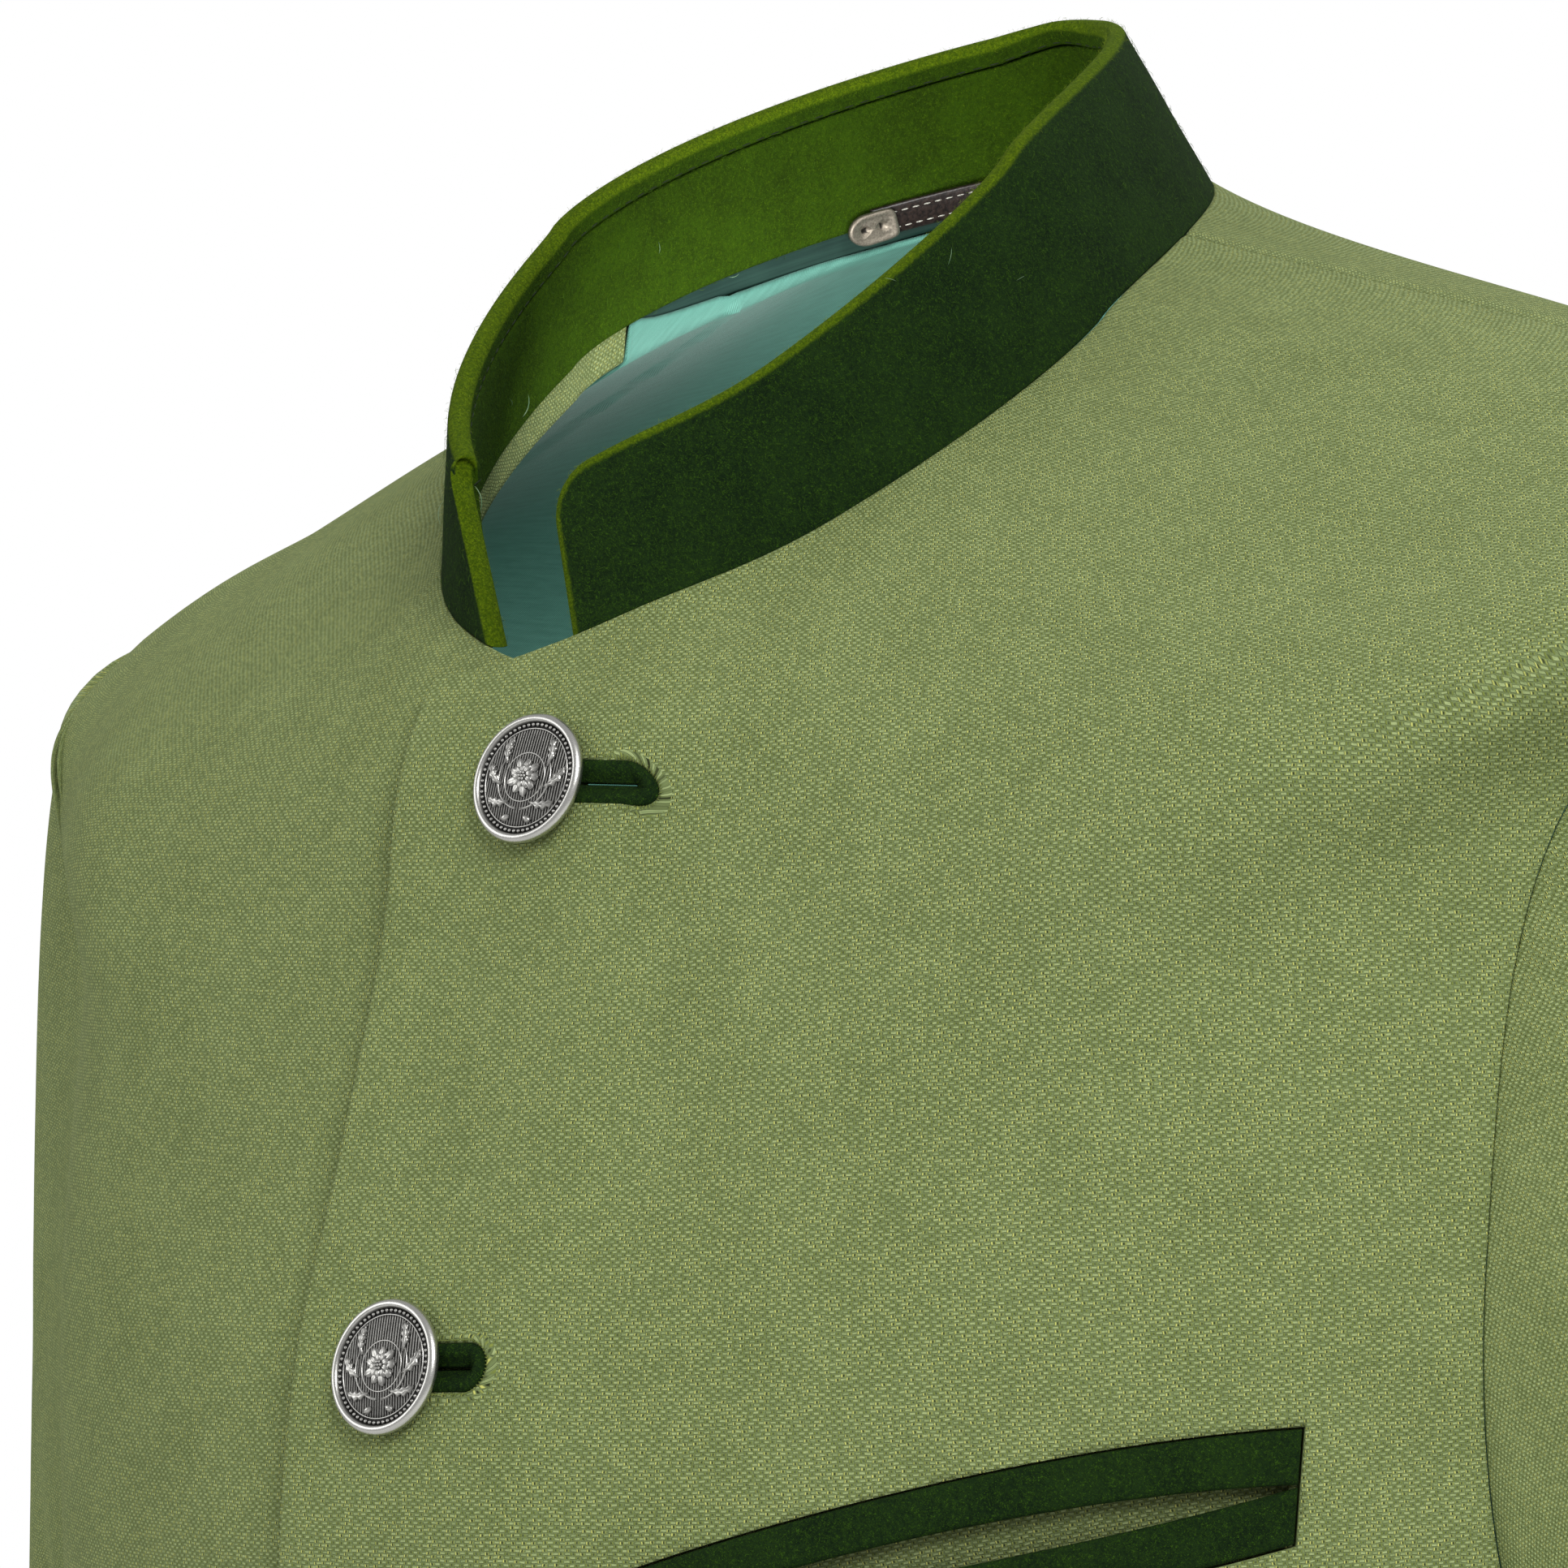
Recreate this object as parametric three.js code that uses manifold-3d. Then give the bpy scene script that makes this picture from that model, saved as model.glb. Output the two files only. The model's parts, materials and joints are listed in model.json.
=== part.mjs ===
// A linen trachten jacket with a felt stand collar, filled out as if worn, with nobody in it.
// Millimetres, +Z up. The front faces -Y and the wearer's left is +X. The origin lies inside the
// neck, level with the height from which the shoulders carry the jacket.
//
// The body is one smooth surface, laid through rings from the hem to the neckline. Every panel,
// welt, facing and lining is a piece of it, so what lies on a panel is made from its own points.

import * as THREE from "three";
import { mergeVertices } from "three/addons/utils/BufferGeometryUtils.js";
import Module from "manifold-3d";

const wasm = await Module();
wasm.setup();

// ---------------------------------------------------------------- driving dimensions

const CLOTH = 1.6; // linen with its interlining
const FELT = 2; // one layer of the collar felt
const FACING = 1.2;
const GAP = 0.3; // between pieces that meet at a seam
const SLACK = 1.1; // more, between the shell and what hangs loose behind it

// Rings of the body, from the hem (v 0) to the neckline (v 1).
// w: half width. yf, yb, yc: front, back and middle. nf, nb: fullness of the front and back
// curve, 2 being an ellipse. zf, zs, zb: height at the front, side and back, and m: its tilt.
const BODY_RINGS = [
  { v: 0.0, w: 190, yf: -142, yb: 130, yc: 0, nf: 2.2, nb: 2.2, zf: -722, zs: -722, zb: -716, m: 0 },
  { v: 0.16, w: 182, yf: -140, yb: 124, yc: 0, nf: 2.2, nb: 2.2, zf: -610, zs: -610, zb: -604, m: 0 },
  { v: 0.36, w: 161, yf: -138, yb: 106, yc: 0, nf: 2.15, nb: 2.2, zf: -450, zs: -450, zb: -446, m: 0 },
  { v: 0.52, w: 162, yf: -149, yb: 112, yc: 0, nf: 2.15, nb: 2.3, zf: -320, zs: -320, zb: -312, m: 0 },
  { v: 0.6, w: 173, yf: -151.5, yb: 115, yc: 0, nf: 1.95, nb: 2.3, zf: -250, zs: -250, zb: -240, m: 0 },
  { v: 0.68, w: 181, yf: -146, yb: 115, yc: 0, nf: 1.85, nb: 2.3, zf: -205, zs: -180, zb: -176, m: -10 },
  { v: 0.76, w: 184.8, yf: -132, yb: 112, yc: 0, nf: 1.85, nb: 2.25, zf: -167, zs: -104.7, zb: -118, m: -24 },
  { v: 0.84, w: 209, yf: -119, yb: 105, yc: -2, nf: 1.85, nb: 2.1, zf: -131, zs: -64.8, zb: -62, m: -40.9 },
  { v: 0.93, w: 147, yf: -111.8, yb: 96, yc: -8, nf: 1.88, nb: 1.95, zf: -99.6, zs: -46.7, zb: -20, m: -52.1 },
  { v: 1.0, w: 65.2, yf: -99.5, yb: 85.3, yc: -17.6, nf: 1.87, nb: 1.72, zf: -78.7, zs: -23.3, zb: 18.2, m: -47.4 },
];

// Angles round the body: 0 is the centre front, 90 the wearer's left, 180 the centre back.
const SIDE_SEAM = 93;
const SHOULDER_SEAM = { tip: 102, neck: 114 };
const V_ARMPIT = 0.55;
const V_SHOULDER = 0.84;
const V_YOKE = 0.93; // above this the rows of a front bend down to its neckline
const ARMHOLE = { front: 33, back: 26, fullness: 0.7 }; // how far it cuts into front and back

const FRONT = { edge: 19.5, lift: 2.4, liftFrom: 45, liftTo: 22 }; // overlap past the centre front
const NECK_V = { from: 20.2, slope: 0.39, rise: 390 }; // the straight run of the neckline in front

const COLLAR = { height: 31.8, frontHeight: 29.9, lean: 21.1, inset: 10, corner: 12, fold: 6, under: 6.1 };
// Its front ends: millimetres from the centre front, and how far each slants along the seam.
const COLLAR_ENDS = { left: 8.9, right: 12.7, leftSkew: -0.05, rightSkew: -0.6, spread: 11 };

// Centre line of the sleeve below the armpit. a: half width, b: half depth.
const SLEEVE_RINGS = [
  { t: 0.3, x: 211, y: 38, z: -322, a: 44, b: 64 },
  { t: 0.45, x: 219, y: 38, z: -385, a: 44, b: 61 },
  { t: 0.62, x: 229, y: 31, z: -460, a: 42, b: 56 },
  { t: 0.8, x: 235, y: 15, z: -545, a: 38, b: 50 },
  { t: 1.0, x: 236, y: -11, z: -640, a: 34, b: 45 },
];

// The seams of a sleeve, by the angle round it: one in front, facing the body, and one behind.
const SLEEVE_SEAMS = { front: 144, back: 252, step: 18 };

// The top buttons sit a little to the wearer's left, where the opening is pulled over.
const BUTTONS = { x: [11.8, 3, 0, 0, 0], first: 25.3, pitch: 102.1, radius: 11.5, stand: 3.1, shank: 0.8 };
const HOLE = { from: -4.6, halfHeight: 4, lip: 2.8, sides: 16, raise: 0.5, sink: 1.2 };
const HOLE_REACH = [22.9, 19.4, 19.4, 19.4, 19.4]; // from the button's centre to the hole's end
const HOLE_FALL = [0.12, 0, 0, 0, 0]; // how much a hole falls away from its button

// The breast pocket: angles of its ends, v of its top edge at each end, and in v the rise of its
// top edge, the height of a welt and the widest opening between the two.
const POCKET = { inner: 17, outer: 54, vInner: 0.6259, vOuter: 0.6481, bow: 0.0083 };
const WELT = { height: 0.013, open: 0.0088, raise: 1, sink: 1.1, inset: 0.0005 };
const POCKET_BACKING = { margin: 0.012, overhang: 2.5 };

// The cloth inside the neck goes on above the collar seam, where v counts 400 mm to 1.
const INSIDE = { leave: 0.96, perV: 400, top: 1.0142, apart: 0.7 };
const FRONT_FACING = { rows: -4, off: 0.8 };
const BACK_FACING = { shoulder: 1.0112, middle: 0.994 }; // v of its lower edge
const LINING = { thick: 1, rows: 5, inset: 0.8, slack: 1.6 }; // it starts at the fifth row, above the waist

const HANGER = { reach: 43.5, half: 3.2, up: 6, off: 4.7, thick: 1.4, bow: 2.5 };
const PLATE = { from: 40.6, to: 47.4, half: 3.9, thick: 1 };

const ROWS = { skirt: 7, armhole: 10, shoulder: 4 };

// ---------------------------------------------------------------- small maths

const rad = THREE.MathUtils.degToRad;
const deg = THREE.MathUtils.radToDeg;
const lerp = THREE.MathUtils.lerp;
const clamp = THREE.MathUtils.clamp;
const smooth = THREE.MathUtils.smoothstep;
const vec = (x, y, z) => new THREE.Vector3(x, y, z);
const spread = (from, to, count) =>
  Array.from({ length: count + 1 }, (_, i) => lerp(from, to, i / count));

// The value of one column of a table at x: a smooth curve through its rows, straight past the ends.
function column(table, key, name, x) {
  const n = table.length;
  const chord = (i) => (table[i + 1][name] - table[i][name]) / (table[i + 1][key] - table[i][key]);
  const step = (i) => table[i + 1][key] - table[i][key];
  const slope = (i) => {
    if (i === 0) return chord(0);
    if (i === n - 1) return chord(n - 2);
    return (chord(i - 1) * step(i) + chord(i) * step(i - 1)) / (step(i) + step(i - 1));
  };
  let i = 0;
  while (i < n - 2 && x > table[i + 1][key]) i += 1;
  const h = step(i);
  const t = (x - table[i][key]) / h;
  const q = clamp(t, 0, 1);
  const inside =
    (2 * q ** 3 - 3 * q ** 2 + 1) * table[i][name] +
    (q ** 3 - 2 * q ** 2 + q) * h * slope(i) +
    (3 * q ** 2 - 2 * q ** 3) * table[i + 1][name] +
    (q ** 3 - q ** 2) * h * slope(i + 1);
  return inside + (t - q) * h * slope(t > 1 ? i + 1 : i);
}

// ---------------------------------------------------------------- the body surface

const ring = (name, v) => column(BODY_RINGS, "v", name, v);

// A point of the body surface, at an angle in degrees and a height v from 0 to 1.
function body(theta, v) {
  const s = Math.sin(rad(theta));
  const c = Math.cos(rad(theta));
  const front = c > 0;
  const power = 2 / ring(front ? "nf" : "nb", v);
  const yc = ring("yc", v);
  const x = ring("w", v) * Math.sign(s) * Math.abs(s) ** power;
  const y = yc + (ring(front ? "yf" : "yb", v) - yc) * Math.abs(c) ** power;
  const [zf, zs, zb, m] = ["zf", "zs", "zb", "m"].map((name) => ring(name, v));
  const z = zs + m * c + ((zf + zb) / 2 - zs) * c * c + ((zf - zb) / 2 - m) * c ** 3;
  return vec(x, y, z);
}

// The outward normal of a surface f(a, b) whose a runs round to the left and b runs up.
function normalOf(f, a, b, da, db) {
  const across = f(a + da, b).sub(f(a - da, b));
  const along = f(a, b + db).sub(f(a, b - db));
  return across.cross(along).normalize();
}

const bodyNormal = (theta, v) => normalOf(body, theta, v, 0.5, 0.002);
const bodyOut = (theta, v, out) => body(theta, v).addScaledVector(bodyNormal(theta, v), out);

// The angle at which the front surface at height v is x millimetres from the centre.
function angleAtX(x, v) {
  return deg(Math.sign(x) * Math.asin((Math.abs(x) / ring("w", v)) ** (ring("nf", v) / 2)));
}

// The armhole of the left side. u is 0 at the armpit and 1 at the shoulder tip.
function armhole(front, u) {
  const v = V_ARMPIT + ((V_SHOULDER - V_ARMPIT) * (1 - Math.cos(Math.PI * u))) / 2;
  const middle = lerp(SIDE_SEAM, SHOULDER_SEAM.tip, u);
  const cut = Math.sin(Math.PI * clamp(u, 0, 1)) ** ARMHOLE.fullness;
  return { theta: front ? middle - ARMHOLE.front * cut : middle + ARMHOLE.back * cut, v };
}

// The outer boundary of a front or back at height v: side seam, armhole, then shoulder seam.
function seamAngle(front, v) {
  const gap = deg(GAP / ring("w", v)) * (front ? -1 : 1);
  if (v <= V_ARMPIT) return SIDE_SEAM + gap;
  if (v >= V_SHOULDER) {
    const up = (v - V_SHOULDER) / (1 - V_SHOULDER);
    return lerp(SHOULDER_SEAM.tip, SHOULDER_SEAM.neck, up) + gap;
  }
  const u = Math.acos(1 - (2 * (v - V_ARMPIT)) / (V_SHOULDER - V_ARMPIT)) / Math.PI;
  return armhole(front, u).theta + gap;
}

// The neckline: a ring, but straight and falling where a front comes to its corner.
const neckStart = body(NECK_V.from, 1);
function necklineV(theta) {
  const p = body(theta, 1);
  if (p.x > neckStart.x || Math.abs(theta) > 90) return 1;
  const line = neckStart.z - NECK_V.slope * (neckStart.x - p.x);
  return 1 - (p.z - line) / NECK_V.rise;
}

// The rows of every panel: close together where the armhole turns.
const ROW_V = [
  ...spread(0, V_ARMPIT, ROWS.skirt),
  ...spread(0, 1, ROWS.armhole).slice(1).map((u) => armhole(true, u).v),
  ...spread(V_SHOULDER, 1, ROWS.shoulder).slice(1),
];

// ---------------------------------------------------------------- closed solids from grids

function geometryFrom(points, triangles) {
  const geometry = new THREE.BufferGeometry().setFromPoints(points);
  geometry.setIndex(triangles);
  return geometry;
}

// A wall between two grids of points, rows by columns.
// Columns run to the left and rows run up as seen from outside.
function wall(outer, inner) {
  const rows = outer.length;
  const cols = outer[0].length;
  const points = [...outer.flat(), ...inner.flat()];
  const at = (side, r, c) => side * rows * cols + r * cols + c;
  const triangles = [];
  const quad = (a, b, c, d) => triangles.push(a, b, c, a, c, d);
  for (let r = 0; r < rows - 1; r += 1) {
    for (let c = 0; c < cols - 1; c += 1) {
      quad(at(0, r, c), at(0, r, c + 1), at(0, r + 1, c + 1), at(0, r + 1, c));
      quad(at(1, r, c), at(1, r + 1, c), at(1, r + 1, c + 1), at(1, r, c + 1));
    }
  }
  for (let c = 0; c < cols - 1; c += 1) {
    quad(at(0, 0, c), at(1, 0, c), at(1, 0, c + 1), at(0, 0, c + 1));
    quad(at(0, rows - 1, c), at(0, rows - 1, c + 1), at(1, rows - 1, c + 1), at(1, rows - 1, c));
  }
  for (let r = 0; r < rows - 1; r += 1) {
    quad(at(0, r, 0), at(0, r + 1, 0), at(1, r + 1, 0), at(1, r, 0));
    quad(at(0, r, cols - 1), at(1, r, cols - 1), at(1, r + 1, cols - 1), at(0, r + 1, cols - 1));
  }
  return geometryFrom(points, triangles);
}

// A patch of the body surface between two offsets, from a grid of { theta, v, lift }.
// keep is how much is kept of the faces of its top row and of its last column.
function patch(grid, outside, inside, keep = 1) {
  const shorten = (list) => {
    const [before, end] = list.slice(-2);
    return [...list.slice(0, -1), before.map((p, i) => p.clone().lerp(end[i], keep))];
  };
  const turned = (rows) => rows[0].map((_, c) => rows.map((row) => row[c]));
  const level = (out) => {
    const rows = grid.map((row) =>
      row.map(({ theta, v, lift = 0 }) => bodyOut(theta, v, out + lift)),
    );
    return keep === 1 ? rows : turned(shorten(turned(shorten(rows))));
  };
  return wall(level(outside), level(inside));
}

// A bar: one closed section, swept through stations that each hold the section's points.
// The section runs anticlockwise as seen from its first station's outer end.
function bar(stations, section) {
  const n = section.length;
  const last = (stations.length - 1) * n;
  const points = stations.flat();
  const triangles = [];
  for (let base = 0; base < last; base += n) {
    for (let i = 0; i < n; i += 1) {
      const a = base + i;
      const b = base + ((i + 1) % n);
      // The shorter diagonal, so that two bars side by side fold alike.
      if (points[a].distanceTo(points[b + n]) < points[b].distanceTo(points[a + n])) {
        triangles.push(a, b + n, b, a, a + n, b + n);
      } else triangles.push(a, a + n, b, b, a + n, b + n);
    }
  }
  const outline = section.map(([u, w]) => new THREE.Vector2(u, w));
  THREE.ShapeUtils.triangulateShape(outline, []).forEach((corners) => {
    const [a, b, c] = THREE.ShapeUtils.isClockWise(corners.map((i) => outline[i]))
      ? corners.toReversed()
      : corners;
    triangles.push(a, b, c, last + a, last + c, last + b);
  });
  return geometryFrom(points, triangles);
}

// The same piece on the other side of the body.
function mirrored(geometry) {
  const copy = geometry.clone().scale(-1, 1, 1);
  const index = copy.getIndex();
  for (let i = 0; i < index.count; i += 3) {
    const kept = index.getX(i + 1);
    index.setX(i + 1, index.getX(i + 2));
    index.setX(i + 2, kept);
  }
  return copy;
}

function solidOf(geometry) {
  const merged = mergeVertices(geometry.clone(), 1e-4);
  return new wasm.Manifold(
    new wasm.Mesh({
      numProp: 3,
      vertProperties: merged.getAttribute("position").array,
      triVerts: new Uint32Array(merged.getIndex().array),
    }),
  );
}

// One geometry with others cut out of it.
function cut(geometry, cutters) {
  let solid = solidOf(geometry);
  cutters.forEach((cutter) => {
    solid = solid.subtract(solidOf(cutter));
  });
  const mesh = solid.getMesh();
  const result = new THREE.BufferGeometry();
  result.setAttribute("position", new THREE.BufferAttribute(new Float32Array(mesh.vertProperties), 3));
  result.setIndex(new THREE.BufferAttribute(new Uint32Array(mesh.triVerts), 1));
  return result;
}

// ---------------------------------------------------------------- fronts and back

// How far the left front is lifted by the right front that it laps over.
function overlapLift(theta, v) {
  if (Math.abs(theta) > 90) return 0;
  return FRONT.lift * (1 - smooth(body(theta, v).x, FRONT.liftTo, FRONT.liftFrom));
}

// v of a row of a front: the rows above the yoke bend down to the corner of the neckline.
function frontRowV(theta, row, top = necklineV(theta)) {
  if (row <= V_YOKE) return row;
  return lerp(V_YOKE, top, (row - V_YOKE) / (1 - V_YOKE));
}

// The angle at which a row of a front is x millimetres from the centre.
function angleInRow(x, row) {
  let theta = angleAtX(x, row);
  for (let i = 0; i < 12; i += 1) theta = angleAtX(x, frontRowV(theta, row));
  return theta;
}

const FRONT_COLUMNS_X = [-FRONT.edge, -8, 7, FRONT.liftTo, 33, FRONT.liftFrom];
const FRONT_COLUMNS_BEYOND = 7;

function frontGrid(lapsOver) {
  return ROW_V.map((row) => {
    const near = FRONT_COLUMNS_X.map((x) => angleInRow(x, row));
    const beyond = spread(near.at(-1), seamAngle(true, row), FRONT_COLUMNS_BEYOND).slice(1);
    return [...near, ...beyond].map((theta) => {
      const v = frontRowV(theta, row);
      return { theta, v, lift: lapsOver ? overlapLift(theta, v) : 0 };
    });
  });
}

const BACK_COLUMNS = 18;

// A row of the back at height v, stopping short of both seams by an inset in degrees.
function backRow(v, inset = 0) {
  const seam = seamAngle(false, v) + inset;
  return spread(seam, 360 - seam, BACK_COLUMNS).map((theta) => ({ theta, v }));
}

// ---------------------------------------------------------------- buttons and buttonholes

// The centre front at a distance down from the neckline, measured along the cloth.
function centreFrontV(distance) {
  let v = necklineV(0);
  let left = distance;
  const step = 0.001;
  while (left > 0) {
    left -= body(0, v).distanceTo(body(0, v - step));
    v -= step;
  }
  return v;
}

// Each button: its angle and v, and the reach and fall of its buttonhole.
const BUTTON_PLACES = BUTTONS.x.map((x, i) => {
  const v = centreFrontV(BUTTONS.first + i * BUTTONS.pitch);
  return { x, v, theta: angleAtX(x, v), reach: HOLE_REACH[i], fall: HOLE_FALL[i] };
});

// A point of the left front, in millimetres to the wearer's left of a button and above it.
function nearButton({ x, v, fall }, across, up) {
  const perV = body(0, v + 0.005).distanceTo(body(0, v - 0.005)) / 0.01;
  return { theta: angleAtX(x + across, v), v: v + (up - across * fall) / perV };
}

// The outline of a buttonhole: straight sides and round ends, smaller by inset all round.
function holeOutline(place, inset) {
  const radius = HOLE.halfHeight - inset;
  return Array.from({ length: HOLE.sides }, (_, i) => {
    const turn = ((i + 0.5) / HOLE.sides) * 2 * Math.PI;
    const centre = Math.cos(turn) > 0 ? place.reach - HOLE.halfHeight : HOLE.from + HOLE.halfHeight;
    return nearButton(place, centre + radius * Math.cos(turn), radius * Math.sin(turn));
  });
}

const frontPoint = ({ theta, v }, out) => bodyOut(theta, v, out + overlapLift(theta, v));

// The cutter for a buttonhole: its outline as a block that runs right through the cloth.
function holeCutter(place) {
  const outline = holeOutline(place, 0);
  const middle = nearButton(place, (HOLE.from + place.reach) / 2, 0);
  const reach = 5;
  const n = outline.length;
  const points = [
    ...outline.map((p) => frontPoint(p, -reach)),
    ...outline.map((p) => frontPoint(p, reach)),
    frontPoint(middle, -reach),
    frontPoint(middle, reach),
  ];
  const triangles = [];
  for (let i = 0; i < n; i += 1) {
    const j = (i + 1) % n;
    triangles.push(i, j, n + j, i, n + j, n + i);
    triangles.push(2 * n, j, i, 2 * n + 1, n + i, n + j);
  }
  return geometryFrom(points, triangles);
}

// The felt binding: an oval ring that fills the hole but for a slit.
function bindingGeometry(place) {
  const outer = holeOutline(place, GAP);
  const inner = holeOutline(place, HOLE.lip);
  const corners = [
    [outer, -HOLE.sink],
    [outer, HOLE.raise],
    [inner, HOLE.raise],
    [inner, -HOLE.sink],
  ];
  const n = outer.length;
  const points = corners.flatMap(([loop, out]) => loop.map((p) => frontPoint(p, out)));
  const triangles = [];
  for (let k = 0; k < corners.length; k += 1) {
    const next = (k + 1) % corners.length;
    for (let i = 0; i < n; i += 1) {
      const j = (i + 1) % n;
      const [a, b, c, d] = [k * n + i, k * n + j, next * n + j, next * n + i];
      triangles.push(a, b, c, a, c, d);
    }
  }
  return geometryFrom(points, triangles);
}

// Half section of a button, shank first. Heights are above the right front.
const BUTTON_SECTION = [
  [0, 0.4],
  [BUTTONS.shank, 0.4],
  [BUTTONS.shank, BUTTONS.stand],
  [BUTTONS.radius - 1, BUTTONS.stand + 0.2],
  [BUTTONS.radius, BUTTONS.stand + 1.1],
  [BUTTONS.radius - 0.3, BUTTONS.stand + 2.1],
  [BUTTONS.radius - 1.2, BUTTONS.stand + 2.3],
  [BUTTONS.radius - 1.9, BUTTONS.stand + 1.8],
  [BUTTONS.radius * 0.5, BUTTONS.stand + 2.4],
  [0, BUTTONS.stand + 2.7],
];
const BUTTON_SIDES = 20;

function buttonMesh({ theta, v }) {
  const profile = BUTTON_SECTION.map(([r, h]) => new THREE.Vector2(r, h));
  const mesh = new THREE.Mesh(new THREE.LatheGeometry(profile, BUTTON_SIDES), materials.silver);
  mesh.position.copy(body(theta, v));
  mesh.quaternion.setFromUnitVectors(vec(0, 1, 0), bodyNormal(theta, v));
  return mesh;
}

// ---------------------------------------------------------------- breast pocket

// Along the pocket, share runs from 0 at its inner end to 1 at its outer end.
const pocketTop = (share) =>
  lerp(POCKET.vInner, POCKET.vOuter, share) + POCKET.bow * 4 * share * (1 - share);
const pocketOpen = (share) => WELT.open * 4 * share * (1 - share);
const pocketBottom = (share) => pocketTop(share) - 2 * WELT.height - pocketOpen(share);
const POCKET_COLUMNS = 10;

function pocketStrip(top, bottom, inset, overhang = 0) {
  const angle = (share) =>
    lerp(POCKET.inner + inset - overhang, POCKET.outer - inset + overhang, share);
  return [bottom, top].map((edge) =>
    spread(0, 1, POCKET_COLUMNS).map((share) => ({ theta: angle(share), v: edge(share) })),
  );
}

const pocketCutter = () => patch(pocketStrip(pocketTop, pocketBottom, 0), 6, -6);

function upperWelt() {
  const top = (share) => pocketTop(share) - WELT.inset;
  const bottom = (share) => pocketTop(share) - WELT.height + WELT.inset / 2;
  return patch(pocketStrip(top, bottom, 0.15), WELT.raise, -WELT.sink);
}

function lowerWelt() {
  const top = (share) => pocketBottom(share) + WELT.height - WELT.inset / 2;
  const bottom = (share) => pocketBottom(share) + WELT.inset;
  return patch(pocketStrip(top, bottom, 0.15), WELT.raise, -WELT.sink);
}

function pocketBacking() {
  const top = (share) => pocketTop(share) + POCKET_BACKING.margin;
  const bottom = (share) => pocketBottom(share) - POCKET_BACKING.margin;
  const out = -(CLOTH + GAP + SLACK);
  return patch(pocketStrip(top, bottom, 0, POCKET_BACKING.overhang), out, out - FACING);
}

// ---------------------------------------------------------------- collar

// The seam of the collar, at an angle from just left of the centre front round to just right.
function collarSeam(angle) {
  const left = angle <= 180;
  const theta = left ? angle : 360 - angle;
  const v = necklineV(theta);
  const lift = left ? overlapLift(theta, v) : 0;
  const p = bodyOut(theta, v, lift);
  return left ? p : vec(-p.x, p.y, p.z);
}

const COLLAR_START = angleInRow(COLLAR_ENDS.left, 1);
const COLLAR_END = 360 - angleInRow(COLLAR_ENDS.right, 1);

// How far the collar slants along its seam near its two front ends.
function collarSkew(angle) {
  const near = (distance) => Math.exp(-((distance / COLLAR_ENDS.spread) ** 2));
  const { leftSkew, rightSkew } = COLLAR_ENDS;
  return leftSkew * near(angle - COLLAR_START) + rightSkew * near(COLLAR_END - angle);
}

// Seam point, height and directions of the collar at an angle, and the slope of its lower
// edge, which follows the cut edge of the body.
function collarFrame(angle) {
  const s = Math.sin(rad(angle));
  const c = Math.cos(rad(angle));
  const height = lerp(COLLAR.height, COLLAR.frontHeight, Math.max(c, 0) ** 2);
  const lean = rad(COLLAR.lean);
  const slant = vec(
    -s * COLLAR.inset,
    c * COLLAR.inset - height * Math.sin(lean),
    height * Math.cos(lean),
  );
  const seam = collarSeam(angle);
  const along = collarSeam(angle + 0.5).sub(collarSeam(angle - 0.5)).normalize();
  slant.addScaledVector(along, slant.length() * collarSkew(angle));
  const up = slant.clone().normalize();
  const inward = up.clone().cross(along).normalize();
  const theta = angle <= 180 ? angle : angle - 360;
  const normal = bodyNormal(theta, necklineV(Math.abs(theta)));
  const slope = Math.max(0, normal.dot(up) / normal.dot(inward));
  return { seam, up, inward, slope, height: slant.length() };
}

// Angles along the collar: close together where its front corners are rounded, and otherwise
// those of the panels it stands on.
const COLLAR_ANGLES = (() => {
  const front = frontGrid(false).at(-1).map(({ theta }) => theta);
  const back = backRow(1).map(({ theta }) => theta).slice(1);
  const half = (start) => {
    const corner = [0, 0.9, 2.7, 5.4, 9].map((step) => start + step);
    const rest = [...front, ...back].filter((theta) => theta > corner.at(-1) + 1 && theta < 179);
    return [...corner, ...rest];
  };
  const right = half(360 - COLLAR_END).toReversed().map((theta) => 360 - theta);
  return [...half(COLLAR_START), 180, ...right];
})();

// The collar's height where its corner is rounded off, at a distance from its front end.
function roundedHeight(height, fromEnd) {
  const short = Math.max(COLLAR.corner - fromEnd, 0);
  return height - COLLAR.corner + Math.sqrt(COLLAR.corner ** 2 - short ** 2);
}

// A layer of the collar. Its section is given up the slant and inward from the outer face.
function collarBar(sectionFor) {
  const end = collarSeam(COLLAR_START);
  const otherEnd = collarSeam(COLLAR_END);
  const stations = COLLAR_ANGLES.map((angle) => {
    const { seam, up, inward, slope, height } = collarFrame(angle);
    const fromEnd = Math.min(seam.distanceTo(end), seam.distanceTo(otherEnd));
    return sectionFor(roundedHeight(height, fromEnd), slope).map(([u, w]) =>
      seam.clone().addScaledVector(up, u).addScaledVector(inward, w),
    );
  });
  return bar(stations, sectionFor(COLLAR.height, 0));
}

const COLLAR_THICK = 2 * FELT + GAP;

// Outer felt: up the outside, over the rounded rim and down to the stitched edge inside.
function outerCollarSection(height, slope) {
  const r = COLLAR_THICK / 2;
  const turn = r * (1 - Math.SQRT1_2);
  return [
    [1.5 * GAP, 0],
    [height - r, 0],
    [height - turn, turn],
    [height, r],
    [height - turn, COLLAR_THICK - turn],
    [height - r, COLLAR_THICK],
    [height - COLLAR.fold, COLLAR_THICK],
    [height - COLLAR.fold, FELT],
    [1.5 * GAP + slope * FELT, FELT],
  ];
}

// Inner felt: from just above the cloth inside the neck to that stitched edge.
function innerCollarSection(height) {
  const top = height - COLLAR.fold - GAP;
  return [
    [COLLAR.under, FELT + GAP],
    [top, FELT + GAP],
    [top, COLLAR_THICK],
    [COLLAR.under, COLLAR_THICK],
  ];
}

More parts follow.
